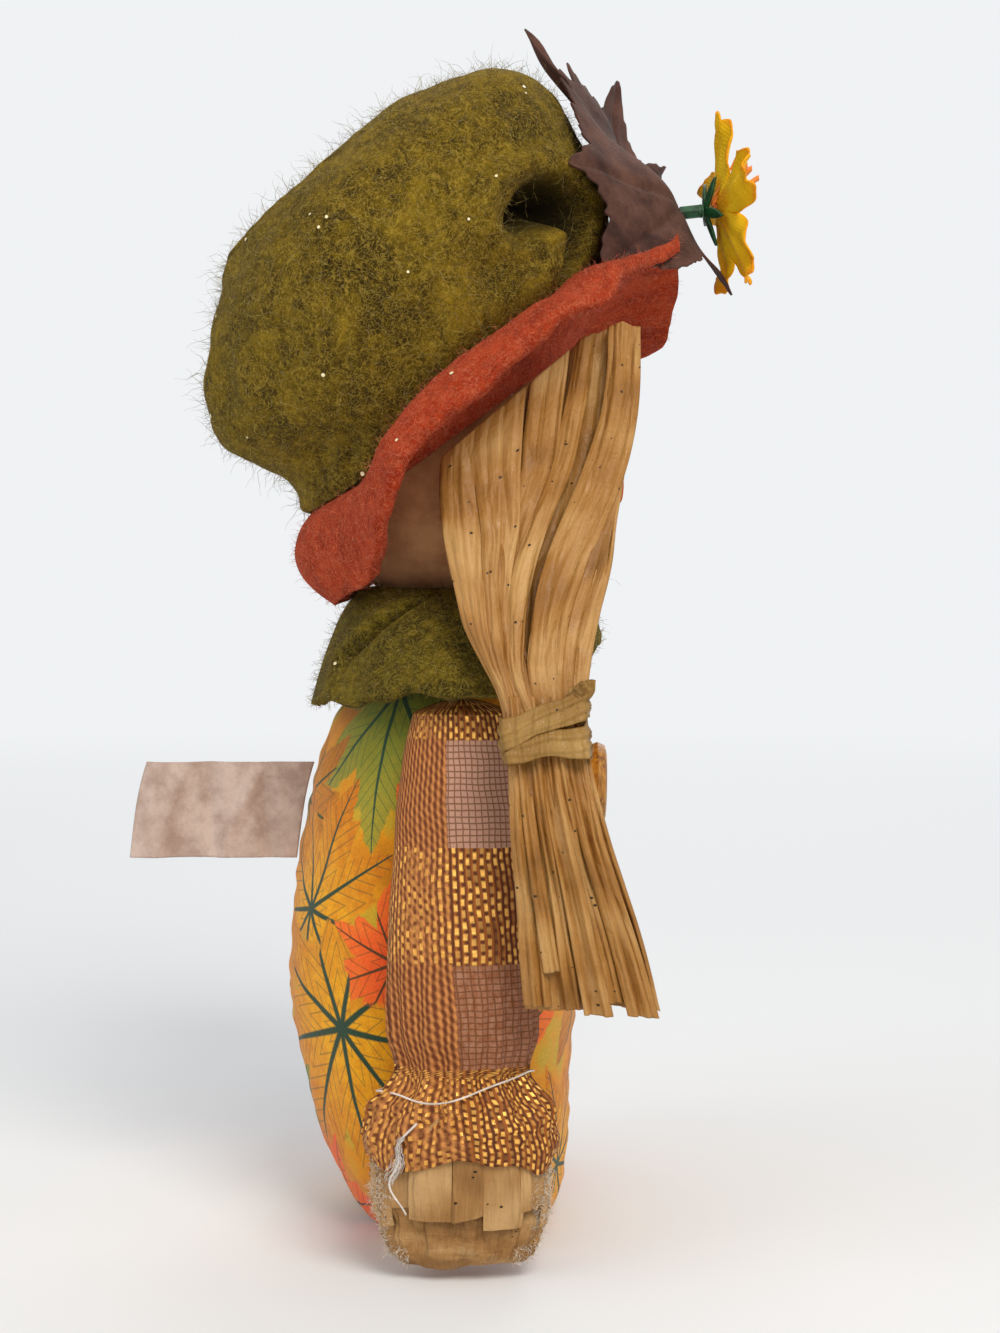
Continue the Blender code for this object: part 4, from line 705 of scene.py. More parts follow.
def tubes(name, paths, radii, sides=3, tip=0.25):
    """Thin closed tubes along paths: an array of fibres by steps by place, and a radius for each."""
    count, steps = paths.shape[:2]
    heading = units(np.gradient(paths, axis=1))
    rng = np.random.default_rng(SEED + count)
    helper = units(rng.normal(size=(count, 1, 3)))
    first = units(np.cross(heading, helper))
    second = np.cross(heading, first)
    taper = np.linspace(1, tip, steps)[None, :, None]
    wide = np.asarray(radii).reshape(-1, 1, 1) * taper
    rings = []
    for k in range(sides):
        a = 2 * math.pi * k / sides
        rings.append(paths + (first * math.cos(a) + second * math.sin(a)) * wide)
    points = np.stack(rings, axis=2)
    base = (np.arange(count) * steps * sides)[:, None, None]
    i = np.arange(steps - 1)[None, :, None] * sides
    k = np.arange(sides)[None, None, :]
    after = (k + 1) % sides
    quads = np.stack(
        [base + i + k, base + i + after, base + i + sides + after, base + i + sides + k], -1
    ).reshape(-1, 4)
    foot = (base[:, 0, 0, None] + np.arange(sides)[None, ::-1]).tolist()
    top = (base[:, 0, 0, None] + (steps - 1) * sides + np.arange(sides)[None, :]).tolist()
    mesh = bpy.data.meshes.new(name)
    mesh.from_pydata((points.reshape(-1, 3) * MM).tolist(), [], quads.tolist() + foot + top)
    mesh.shade_smooth()
    return face_out(mesh)


def surface_samples(made, count, seed, keep=None):
    """Random points and normals all over a piece, evenly by area."""
    graph = bpy.context.evaluated_depsgraph_get()
    data = made.evaluated_get(graph).to_mesh()
    data.calc_loop_triangles()
    coords = np.zeros(len(data.vertices) * 3)
    data.vertices.foreach_get("co", coords)
    coords = coords.reshape(-1, 3) / MM
    corners = np.zeros(len(data.loop_triangles) * 3, dtype=np.int32)
    data.loop_triangles.foreach_get("vertices", corners)
    corners = coords[corners.reshape(-1, 3)]
    made.evaluated_get(graph).to_mesh_clear()
    if keep is not None:
        corners = corners[keep(corners.mean(axis=1))]
    cross = np.cross(corners[:, 1] - corners[:, 0], corners[:, 2] - corners[:, 0])
    area = np.linalg.norm(cross, axis=1)
    rng = np.random.default_rng(seed)
    chosen = rng.choice(len(area), count, p=area / area.sum())
    a, b = rng.random((2, count, 1))
    over = a + b > 1
    a, b = np.where(over, 1 - a, a), np.where(over, 1 - b, b)
    tri = corners[chosen]
    spots = tri[:, 0] + (tri[:, 1] - tri[:, 0]) * a + (tri[:, 2] - tri[:, 0]) * b
    return spots, units(cross[chosen]), rng


def fuzz(name, made, count, length, finish, body, seed, lean=1.2, curl=0.5, keep=None,
         thick=0.035, rise=1.0):
    """Loose fibres that stand off a piece of felt, each curling its own way."""
    spots, normals, rng = surface_samples(made, count, seed, keep)
    heading = units(normals * rise + rng.normal(size=(count, 3)) * lean * rng.random((count, 1)))
    step = (length * (0.35 + rng.random(count)) / 5)[:, None]
    path = [spots - normals * thick * 2]
    for _ in range(5):
        heading = units(heading + rng.normal(size=(count, 3)) * curl)
        path.append(path[-1] + heading * step)
    mesh = tubes(name, np.stack(path, axis=1), np.full(count, thick))
    return piece(name, mesh, finish, body)


# Camera, floor and light


def aim(made, target):
    """Turns a camera or light to look at a point."""
    towards = Vector(target) - made.location
    made.rotation_euler = towards.to_track_quat("-Z", "Y").to_euler()


camera = bpy.data.objects.new("camera", bpy.data.cameras.new("camera"))
bpy.context.scene.collection.objects.link(camera)
camera.location = (-0.400, -0.0075, 0.115)
aim(camera, (0, -0.0075, 0.115 - 0.400 * math.tan(math.radians(2.9))))
camera.data.sensor_fit = "VERTICAL"
camera.data.sensor_height = 36
camera.data.lens = 62.1
camera.data.clip_start = 0.01
bpy.context.scene.camera = camera

bpy.context.scene.view_settings.view_transform = "Standard"

floor_mesh = bpy.data.meshes.new("floor")
floor_mesh.from_pydata([(-3, -3, 0), (3, -3, 0), (3, 3, 0), (-3, 3, 0)], [], [(0, 1, 2, 3)])
floor = bpy.data.objects.new("floor", floor_mesh)
bpy.context.scene.collection.objects.link(floor)
floor_mesh.materials.append(studio_floor("pale_paper", STUDIO_PALE, 0.25, 1.1))

# name, place, size, power, colour
LAMPS = (
    ("key_softbox", (-0.70, -0.30, 0.80), 0.55, 6.6, "#FFF8EE"),
    ("fill_softbox", (-0.50, 0.85, 0.45), 0.9, 2.2, "#FFFFFF"),
    ("back_softbox", (0.80, -0.10, 0.80), 0.9, 3.0, "#FFFFFF"),
)
for name, spot, size, power, tone in LAMPS:
    lamp = bpy.data.objects.new(name, bpy.data.lights.new(name, "AREA"))
    bpy.context.scene.collection.objects.link(lamp)
    lamp.location = spot
    lamp.data.shape = "DISK"
    lamp.data.size = size
    lamp.data.energy = power
    lamp.data.color = linear(tone)[:3]
    aim(lamp, (0, 0, 0.1))

world = bpy.data.worlds.new("white_studio")
bpy.context.scene.world = world
world.use_nodes = True
sky = world.node_tree
seen = add(sky, "LightPath").outputs
direct = add(sky, "Math", {0: seen["Is Camera Ray"], 1: seen["Is Glossy Ray"]}, operation="MAXIMUM")
shown = add(sky, "Math", {0: direct.outputs[0], 1: seen["Is Transmission Ray"]}, operation="MAXIMUM")
level = add(sky, "MapRange", {"Value": shown.outputs[0], "To Min": 0.52, "To Max": 1.0})
background = sky.nodes["Background"]
background.inputs["Color"].default_value = linear(STUDIO_PALE)
sky.links.new(level.outputs[0], background.inputs["Strength"])


# Body

# height, half width, half depth and forward middle, as shares of the body's own
BODY_SHARES = (
    (0, 0.76, 0.60, -0.12), (0.03, 0.85, 0.70, 0.05), (0.10, 0.94, 0.80, 0.35),
    (0.21, 0.98, 0.88, 0.76), (0.41, 1, 0.98, 1.12), (0.64, 0.98, 0.95, 0.83),
    (0.81, 0.91, 0.90, 0.38), (0.91, 0.79, 0.81, -0.05), (0.965, 0.62, 0.68, -0.26),
    (1.0, 0.33, 0.43, -0.53),
)
BODY_RUN = 92.0
SEAM_HALF_GAP = 0.2


def body_row(height):
    """Half width, half depth and forward middle of the body at heights."""
    rows = smooth_table(BODY_SHARES, np.asarray(height) / BODY_HEIGHT)
    return rows[:, 0] * BODY_HALF_WIDTH, rows[:, 1] * BODY_HALF_DEPTH, rows[:, 2] * BODY_LEAN


def body_panel(side):
    """One half of the printed body, from the seam at the back round the side to the front seam."""
    heights = np.linspace(0, 1, 170) ** 0.9 * BODY_HEIGHT
    turns = np.linspace(math.pi, 0, 150)
    wide, deep, middle = body_row(heights)
    wide, deep, middle = wide[:, None], deep[:, None], middle[:, None]
    x = side * np.maximum(wide * np.sin(turns), SEAM_HALF_GAP)
    y = middle - deep * np.cos(turns)
    points = xyz(x, y, heights[:, None])
    # the seam draws the cloth in, with small puckers across it
    off_seam = np.minimum(turns, math.pi - turns) * BODY_RUN / math.pi
    pucker = np.sin(heights * 2 * math.pi / 5.3 + np.sin(heights / 3)) * 0.22
    draw = -0.7 * bell(off_seam, 1.4)[None, :] + pucker[:, None] * bell(off_seam, 5.0)[None, :]
    draw += lumps(points, 14.0, SEED) * 0.7 + lumps(points, 5.0, SEED + 5) * 0.2
    # the cloth is gathered where it meets the base
    near_base = bell(heights, 5.0)[:, None]
    draw += 0.35 * near_base * np.sin(turns * 23 + np.sin(turns * 5) * 2)[None, :]
    draw = np.maximum(draw, -0.7)
    # nothing leaves the seam or crosses it
    centre = np.stack([np.zeros_like(x), np.broadcast_to(middle, x.shape), points[..., 2]], -1)
    points += units(points - centre) * draw[..., None]
    points[..., 0] = side * np.maximum(side * points[..., 0], SEAM_HALF_GAP)
    if side < 0:
        return grid_mesh("body", points, span=(BODY_RUN, BODY_HEIGHT))
    return grid_mesh("body", points[:, ::-1], span=(BODY_RUN, BODY_HEIGHT), start=(0, -4))


for name, side in SIDES:
    panel = piece(
        f"{name}_body_cloth", body_panel(side), COTTON, "torso",
        (f"body_panel_{name}",),
    )
    thicken(panel, 0.55, -1.0)


def base_disc():
    """The round of felt under the body, with its edge turned softly."""
    turns = full_turn(120)
    rim = body_row([1.0])
    shares = ((0.02, 0.3), (0.5, 0.3), (0.9, 0.3), (0.97, 0.42), (0.985, 0.9), (0.97, 1.35),
              (0.9, 1.5), (0.5, 1.5), (0.02, 1.5))
    rows = []
    for share, height in shares:
        x = (rim[0][0] - 0.9) * share * np.sin(turns)
        y = rim[2][0] - (rim[1][0] - 0.9) * share * np.cos(turns)
        rows.append(np.stack([x, y, np.full_like(x, height)], -1))
    return face_out(grid_mesh("base", np.array(rows), closed=True, caps=(True, True)))


piece("base_felt_round", base_disc(), BASE_FELT, "torso", ("base_panel",))


# Head and face


def head_form():
    """A smooth muslin ball, drawn to the tied neck."""
    rows = [(h, 10.0) for h in (86.5, 88.0, 92.0, 96.0)]
    for angle in np.linspace(math.asin(-0.90), math.pi / 2 - 0.02, 60):
        rows.append((HEAD_CENTRE[2] + HEAD_RADIUS * math.sin(angle), HEAD_RADIUS * math.cos(angle)))
    turns = full_turn(128)
    points = np.array([
        np.stack([radius * np.sin(turns), HEAD_CENTRE[1] - radius * np.cos(turns),
                  np.full_like(turns, height)], -1)
        for height, radius in rows
    ])
    mesh = grid_mesh("head", points, closed=True, span=(160, 80), caps=(True, True))
    return face_out(mesh)


piece("muslin_head", head_form(), MUSLIN, "torso", ("head_cover",))


def nose_mesh():
    """A small oval of felt, pressed against the face."""
    low, high = (np.array(corner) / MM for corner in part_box("nose"))
    rise = np.linspace(-math.pi / 2 + 0.03, math.pi / 2 - 0.03, 40)[:, None]
    turns = full_turn(72)[None, :]
    ball = xyz(
        np.cos(rise) * np.sin(turns), np.cos(rise) * np.cos(turns), np.sin(rise)
    )
    swell = 1 + 0.05 * lumps(ball, 0.6, SEED + 92) + 0.02 * lumps(ball, 0.2, SEED + 93)
    points = (low + high) / 2 + ball * (high - low) / 2 * swell[..., None]
    return face_out(grid_mesh("nose", points, closed=True, caps=(True, True)))


def mouth_mesh():
    """A smile of stranded cotton: two plies twisted round each other over the face."""
    low, high = (np.array(corner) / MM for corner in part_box("mouth_stitch"))
    x = np.linspace(low[0] + 0.4, high[0] - 0.4, 110)
    z = low[2] + 0.5 + (high[2] - low[2] - 1.0) * (x / x[-1]) ** 2
    reach = np.sqrt(HEAD_RADIUS**2 - x**2 - (z - HEAD_CENTRE[2]) ** 2) + 0.25
    path = np.stack([x, HEAD_CENTRE[1] - reach, z], -1)
    turn = x * 2 * math.pi / 2.2
    plies = [
        path + 0.26 * np.stack([0 * x, np.cos(turn + lag), np.sin(turn + lag)], -1)
        for lag in (0, math.pi)
    ]
    return tubes("mouth", np.array(plies), np.array([0.30, 0.30]), 8, 0.9)


piece("felt_nose", nose_mesh(), NOSE_FELT, "torso", ("nose",))
piece("stitched_mouth", mouth_mesh(), MOUTH_COTTON, "torso", ("mouth_stitch",))


# Collar

COLLAR_TOP = 107.2
COLLAR_HALF_WIDTH, COLLAR_HALF_DEPTH = 40.5, 24.4
COLLAR_BULGE = 0.68
COLLAR_THICKNESS = 1.5


def collar_mesh():
    """The felt ruff: fluted, lower at the sides and back, its hem cut by hand."""
    below = HEAD_CENTRE[2] - COLLAR_TOP - COLLAR_THICKNESS
    chin = math.sqrt(HEAD_RADIUS**2 - below**2) + 0.6
    turn = full_turn(300)[None, :]
    share = np.linspace(1, 0, 40)[:, None]
    side, ahead = np.sin(turn), np.cos(turn)
    out = share**COLLAR_BULGE
    ragged = 1 + 0.006 * np.sin(turn * 31) + 0.012 * np.sin(turn * 12 + 1)
    wide = chin + (COLLAR_HALF_WIDTH - chin) * out * ragged
    deep = chin + (COLLAR_HALF_DEPTH - chin) * out * ragged
    end_drop = np.where(ahead > 0, 8.7, 19.2)
    drop = 15.7 * side**2 + end_drop * ahead**2
    height = COLLAR_TOP - drop * share ** (1 / COLLAR_BULGE)
    height = height + 0.6 * share**2 * np.cos(7 * turn) + 0.3 * share**2 * np.sin(17 * turn + 1)
    y = HEAD_CENTRE[1] * (1 - share) - deep * ahead
    points = xyz(wide * side, y, height)
    points[..., 2] += lumps(points, 6.0, SEED + 9) * 0.5 * share + COLLAR_THICKNESS / 2
    # a slanting fold at each side of the back: the felt dips in above it and rolls out below
    for start, end in ((-106, -142), (108, 144)):
        along_fold = np.clip((share - 0.12) / 0.62, 0, 1)
        middle = math.radians(start) + math.radians(end - start) * along_fold
        off = ((turn - middle + math.pi) % (2 * math.pi) - math.pi) * 30 * math.copysign(1, -start)
        ends = bell(share - 0.40, 0.30)
        push = -4.4 * bell(off - 0.4, 1.7) * ends + 2.4 * bell(off + 3.6, 2.6) * ends
        points[..., 0] += push * side
        points[..., 1] -= push * ahead
    return grid_mesh("collar", points, closed=True, span=(260, 24))


collar = piece("felt_collar", collar_mesh(), COLLAR_FINISH, "torso", ("collar",))
thicken(collar, COLLAR_THICKNESS)


# Hat

HAT_CENTRE = HEAD_CENTRE + HAT_SEAT * np.array(
    (0, math.sin(math.radians(HAT_TILT)), math.cos(math.radians(HAT_TILT)))
)
HAT = Matrix.Translation(Vector(HAT_CENTRE)) @ Matrix.Rotation(-math.radians(HAT_TILT), 4, "X")


def placed(frame_matrix, points):
    """Points of a piece's own frame, in the doll's frame."""
    turn = np.array(frame_matrix.to_3x3())
    return points @ turn.T + np.array(frame_matrix.translation)


def wrapped(turn):
    """Turns brought between half a turn back and half a turn on."""
    return (turn + math.pi) % (2 * math.pi) - math.pi


# turn from the front, length share, slope at the hole and slope at the edge
BRIM_SHARES = (
    (0, 1.00, 22, -20), (25, 0.97, 30, -40), (48, 0.95, 42, -42), (90, 0.80, 50, -40),
    (120, 0.74, 8, -72), (150, 0.68, 0, -110), (180, 0.70, -14, -134),
)
BRIM_LENGTH = 29.0


def hat_lift(turn):
    """How much higher up the head the hat sits, towards the back."""
    return BRIM_LIFT * ((1 - np.cos(turn)) / 2) ** 3


def hole_radius(turn):
    """The head hole follows the round of the head."""
    up_head = HAT_SEAT + hat_lift(turn) - BRIM_FELT / 2
    return np.sqrt(HEAD_RADIUS**2 - up_head**2) + 0.6


def brim_points(turns, steps):
    """Points out along the brim at turns from the front: it rises from the head hole and rolls over."""
    length, first, last = smooth_table(BRIM_SHARES, np.degrees(np.abs(wrapped(turns)))).T
    last = last + 9.0 * np.cos(7 * turns)
    out = np.stack([np.sin(turns), -np.cos(turns), np.zeros_like(turns)], -1)
    up = np.array((0.0, 0.0, 1.0))
    points = [out * hole_radius(turns)[:, None] + up * hat_lift(turns)[:, None]]
    step = (BRIM_LENGTH * length / steps)[:, None]
    for k in range(steps):
        share = (k + 0.5) / steps
        bend = share * share * (3 - 2 * share)
        slope = np.radians(first + (last - first) * bend)[:, None]
        points.append(points[-1] + (out * np.cos(slope) + up * np.sin(slope)) * step)
    return np.array(points)


def brim_mesh():
    """The felt brim, uneven as felt cut and pressed by hand."""
    turns = full_turn(340)
    points = brim_points(turns, 40)[::-1]
    share = np.linspace(1, 0, 41)[:, None]
    # the front stands up in a rounded flap, and a fold runs down beside it
    flap = np.exp(-np.abs(wrapped(turns - math.radians(-27)) / 0.27) ** 2.6)[None, :]
    points[..., 2] += 5.2 * flap * share**1.2
    dip = bell(wrapped(turns - math.radians(-47)), 0.10)[None, :]
    points[..., 2] -= 1.6 * dip * share**1.3
    # the far front corner hangs
    hang = bell(wrapped(turns - math.radians(37)), 0.24)[None, :]
    points[..., 2] -= 7.0 * hang * share**1.5
    points[..., 2] += share * lumps(points, 8.0, SEED + 3) * 1.0
    points[..., 2] += share * lumps(points, 3.0, SEED + 4) * 0.35
    return grid_mesh("brim", placed(HAT, points), closed=True, span=(300, 29))


brim = piece("felt_hat_brim", brim_mesh(), ORANGE_FELT, "torso", ("hat_brim",))
thicken(brim, 2.2)

CROWN_HEIGHT, CROWN_HALF_WIDTH, CROWN_HALF_LENGTH, CROWN_FORWARD = 50.5, 36.5, 40.6, 12.0
CROWN_FELT = 1.8
# height, half width, half length and forward middle, as shares of the crown's own
CROWN_SHARES = (
    (0.060, 0.790, 0.760, 0.27), (0.130, 0.880, 0.838, 0.66), (0.232, 0.945, 0.887, 0.88),
    (0.348, 0.985, 0.948, 0.86), (0.504, 1, 1, 0.87), (0.679, 0.970, 0.970, 1.11),
    (0.815, 0.860, 0.844, 1.37), (0.893, 0.720, 0.725, 1.37), (0.951, 0.545, 0.586, 1.18),
    (0.987, 0.310, 0.370, 1.02), (1.0, 0.02, 0.03, 1.0),
)
# pressed hollows in the felt: turn from the front, height share, width and depth in millimetres
HOLLOWS = (
    (-70, 0.30, 5.0, 2.2), (-100, 0.30, 8.0, 1.6), (-125, 0.55, 7.0, 1.8), (-110, 0.08, 9.0, 1.6),
    (-80, 0.75, 9.0, 1.2), (-142, 0.20, 5.0, 2.2), (-150, 0.62, 5.0, 1.8), (-128, 0.14, 4.0, 1.8),
    (40, 0.35, 7.0, 3.5), (75, 0.55, 8.0, 2.4), (120, 0.45, 8.0, 2.0), (170, 0.50, 9.0, 2.0),
    (95, 0.15, 7.0, 2.0), (150, 0.20, 7.0, 1.8),
)
# the deep fold by the leaf: turn, height in millimetres, depth and half width along its curl
DEEP_FOLD = (
    (-53, 20.6, 3.0, 1.6), (-48, 20.4, 9.0, 2.4), (-42, 19.4, 13.0, 3.0), (-36, 17.4, 13.0, 3.0),
    (-32, 14.4, 11.0, 2.6), (-35, 11.2, 8.0, 2.2), (-41, 8.6, 3.0, 1.6),
)


def crown_foot(turn):
    """How high over the hole the crown's cut edge rests on the sloping brim."""
    slope = smooth_table(BRIM_SHARES, np.degrees(np.abs(wrapped(turn))))[:, 1]
    slope = np.radians(slope)
    rest = np.maximum(np.tan(slope), 0) * CROWN_FELT
    return BRIM_FELT / 2 / np.cos(slope) + rest + 0.3


def crown_points(inset=0.0, folded=True):
    """The felt crown: full and slouched forwards, with gathers, pressed hollows and one deep fold."""
    turns = full_turn(380)
    foot = crown_foot(np.array([0.0]))[0]
    opening = hole_radius(0.0) + CROWN_FELT
    rows = [(foot, opening, opening, 0.0)]
    rows += [
        (foot + z * (CROWN_HEIGHT - foot), w * CROWN_HALF_WIDTH, d * CROWN_HALF_LENGTH,
         a * CROWN_FORWARD)
        for z, w, d, a in CROWN_SHARES
    ]
    places = np.array([row[0] for row in rows])
    # rows at even steps along the outside, so that the rounded top is as fine as the sides
    steps = np.hypot(np.diff(places), np.diff([row[1] for row in rows]))
    along = np.concatenate([[0], np.cumsum(steps)])
    fine = np.interp(np.linspace(0, along[-1], 170), along, places)
    wide, deep, ahead = (column[:, None] for column in smooth_table(rows, fine).T)
    height = fine[:, None]
    share = height / CROWN_HEIGHT
    tuck = wrapped(turns - math.radians(-50)) / math.radians(15)
    draw = 1 - 0.15 * np.exp(-(tuck**2) - ((share - 0.34) / 0.12) ** 2)
    draw = draw - 0.018 * share * (1 - share) * (1 - np.cos(9 * turns))
    low = ((CROWN_HEIGHT - height) / (CROWN_HEIGHT - foot)) ** 6
    inward = (hole_radius(0.0) - hole_radius(turns)) * low
    x = (wide * draw - inward) * np.sin(turns)
    y = -ahead - (deep * draw - inward) * np.cos(turns)
    z = height + (hat_lift(turns) + crown_foot(turns) - foot) * low
    points = xyz(x, y, z)
    middle = np.array((0, -CROWN_FORWARD * 0.8, CROWN_HEIGHT * 0.42))
    outward = units(points - middle)
    push = np.zeros(x.shape)
    for turn, level, width, depth in HOLLOWS:
        across = wrapped(turns - math.radians(turn))[None, :] * 36
        up = (share - level) * CROWN_HEIGHT
        push -= depth * np.exp(-(across**2 + up**2) / width**2)
    curl = smooth_table([(k, *row) for k, row in enumerate(DEEP_FOLD)], np.linspace(0, 6, 72))
    sunk = np.zeros(x.shape)
    nearest = np.full(x.shape, 99.0)
    for turn, level, depth, width in curl:
        across = wrapped(turns - math.radians(turn))[None, :] * 33
        apart = np.sqrt(across**2 + (height - level) ** 2)
        sunk = np.maximum(sunk, depth * np.exp(-((apart / width) ** 4)))
        nearest = np.minimum(nearest, apart)
    if not folded:
        push -= 23.0 * bell(nearest, 17.0)
    rough = 1 - low
    # the felt rolls out round the fold, and the fold runs in and up under its lip
    push += 2.0 * bell(nearest - 5.6, 1.9) * np.clip((height - 7.0) / 8, 0, 1)
    push -= 0.85 * sunk * folded
    push += (lumps(points, 17.0, SEED) * 1.0 * share + lumps(points, 7.0, SEED + 1) * 0.6) * rough
    push += lumps(points, 2.5, SEED + 2) * 0.2 * rough
    under = np.array((0.1, -0.25, 0.9))
    points = points + outward * (push - inset)[..., None]
    return points + under * (0.55 * sunk * folded)[..., None], np.clip(sunk / 4.5, 0, 1) ** 0.7


# the second value is how deep in the fold each point lies: the painted shade that darkens the felt
# there, kept as the mesh's fold attribute
points, packed = crown_points()
points = placed(HAT, points)
FOLD_MIDDLE = points[packed > 0.5].mean(axis=0)
mesh = grid_mesh("crown", points, closed=True, span=(230, 100), caps=(False, True))
mesh.attributes.new("fold", "FLOAT", "POINT").data.foreach_set("value", packed.ravel())
crown = piece("felt_hat_crown", face_out(mesh), OLIVE_FELT, "torso", ("hat_crown",))
thicken(crown, CROWN_FELT, -1.0)

# its filling begins over the head, and stays clear of the fold
points = crown_points(CROWN_FELT + 1.6, folded=False)[0]
points = placed(HAT, points[points[:, 0, 2] > HEAD_RADIUS - HAT_SEAT + 1.5])
mesh = face_out(grid_mesh("wadding", points, closed=True, caps=(True, True)))
wadding = piece("hat_wadding", mesh, WADDING, "torso", ("hat_stuffing",))


# Leaf and flower

LEAF_LENGTH = 40.0
# degrees from the tip, and reach as a share of the length
LEAF_SHARES = (
    (0, 1.00), (5, 0.80), (12, 0.70), (15, 0.78), (20, 0.60), (28, 0.46), (36, 0.54), (42, 0.74),
    (47, 0.88), (53, 0.74), (60, 0.64), (67, 0.60), (75, 0.70), (81, 0.78), (88, 0.60),
    (96, 0.46), (106, 0.40), (124, 0.28), (140, 0.24), (160, 0.20), (180, 0.44),
)
LEAF_ROOT = 6.5
LEAF_BEND = 28.0
LEAF_FRONT = 0.7 - brim_points(np.array([0.0]), 6)[-1, 0, 1]


def leaf_place(turn, radius):
    """Points of the leaf in the hat's frame: it curls back round the crown above the brim."""
    u, v = radius * np.sin(turn), radius * np.cos(turn)
    # the left half has sprung away from the crown
    hold = np.where(u > 0, 0.35 * np.clip(v / LEAF_ROOT, 0, 1), np.clip((v + 13) / LEAF_ROOT, 0, 1))
    bend = u / LEAF_BEND * hold
    safe = np.where(np.abs(bend) < 1e-6, 1e-6, bend)
    across = np.sin(safe) * u / safe
    curl = (1 - np.cos(bend)) * np.abs(u / safe)
    spring = 0.72 * np.maximum(u, 0) * np.clip(v / LEAF_ROOT, 0, 1) * (radius / LEAF_LENGTH) ** 1.2
    droop = np.minimum(0.36 * curl, np.maximum(v, 0) * 0.8) + 2.2 * np.clip(-u / 9, 0, 1)
    droop = droop - 0.16 * np.maximum(u, 0)
    return np.stack([across, curl - LEAF_FRONT - spring, LEAF_ROOT + v - droop], -1)


def leaf_mesh():
    """The cloth leaf, pressed over the front of the crown, with raised veins and a curled tip."""
    turns = np.linspace(-math.pi, math.pi, 420, endpoint=False)
    reach = LEAF_LENGTH * np.interp(np.degrees(np.abs(turns)), *np.array(LEAF_SHARES).T)
    # the two halves aren't cut alike
    reach = reach * (1 + 0.20 * bell(turns + math.radians(112), 0.42))
    reach = reach * (1 - 0.12 * bell(turns + math.radians(50), 0.20))
    reach = reach * (1 + 0.45 * bell(np.abs(turns) - math.radians(28), 0.15))
    # a hot knife leaves the cut edge finely uneven
    reach = reach * (1 + 0.012 * np.sin(turns * 61) + 0.010 * np.sin(turns * 97 + 2))
    share = np.linspace(1, 0.02, 44)[:, None]
    radius = share * reach[None, :]
    turn = np.broadcast_to(turns, radius.shape)
    points = leaf_place(turn, radius)
    # main veins are pressed down the middle of each lobe
    for vein in (0, 47, 80):
        off = (np.abs(turn) - math.radians(vein)) * radius
        points[..., 1] += 0.7 * bell(off, 0.8) * np.minimum(share * 3, 1)
    points[..., 1] += lumps(points, 9.0, SEED + 6) * 1.1 * share
    # it bulges where the flower is wired through, and its tip curls away from the crown
    off_wire = np.hypot(radius * np.sin(turn), radius * np.cos(turn) - 5.0)
    points[..., 1] -= 3.0 * bell(off_wire, 9.0)
    points[..., 1] += 3.6 * bell(turn + math.radians(85), 0.6) * np.clip(radius / 16, 0, 1)
    tip = np.clip(radius / LEAF_LENGTH - 0.62, 0, 1)
    points[..., 1] -= 9.0 * tip**1.5
    return grid_mesh("leaf", placed(HAT, points), closed=True, span=(120, 40), caps=(False, True))


leaf = piece("cloth_maple_leaf", leaf_mesh(), LEAF_CLOTH, "torso", ("hat_leaf",))
thicken(leaf, 0.35)

FLOWER_NOD = 34.0
SEPAL_LENGTH = 6.2
FLOWER_STEM = 3.2 + SEPAL_LENGTH * math.sin(math.radians(FLOWER_NOD))
FLOWER = (
    HAT
    @ Matrix.Translation((0, -LEAF_FRONT - 0.5, LEAF_ROOT))
    @ Matrix.Rotation(math.pi / 2 + math.radians(FLOWER_NOD), 4, "X")
)
PETAL_LENGTH = 16.5
PETALS = 5


def petals_mesh():
    """Five cloth petals cut as one: each has a soft crease down its middle and a notched, curled end."""
    turns = full_turn(400)
    swell = np.abs(np.cos(PETALS * turns / 2)) ** 0.75
    off = np.abs((turns * PETALS / (2 * math.pi) + 0.5) % 1 - 0.5) * 2
    reach = PETAL_LENGTH * (0.24 + 0.76 * swell)
    reach = reach * (1 - 0.07 * bell(off - 0.22, 0.06) + 0.02 * np.sin(turns * 41))
    share = np.linspace(1, 0, 34)[:, None]
    radius = 1.2 + (reach[None, :] - 1.2) * share
    out = radius / PETAL_LENGTH
    height = 3.4 * out - 1.4 * out**4 - 0.16 * radius * np.sin(turns)
    height = height + 1.1 * off[None, :] * share - 0.6 * bell(off, 0.12)[None, :] * share
    height = height + 0.6 * np.sin(turns * 15)[None, :] * share**2
    points = np.stack(
        [radius * np.sin(turns), radius * np.cos(turns), FLOWER_STEM + 1.0 + height], -1
    )
    points[..., 2] += lumps(points, 4.0, SEED + 7) * 1.1 * share
    return grid_mesh("petals", placed(FLOWER, points), closed=True, span=(60, 16))


petals = piece("cloth_petals", petals_mesh(), PETAL_CLOTH, "torso", ("flower_petals",))
thicken(petals, 0.3)


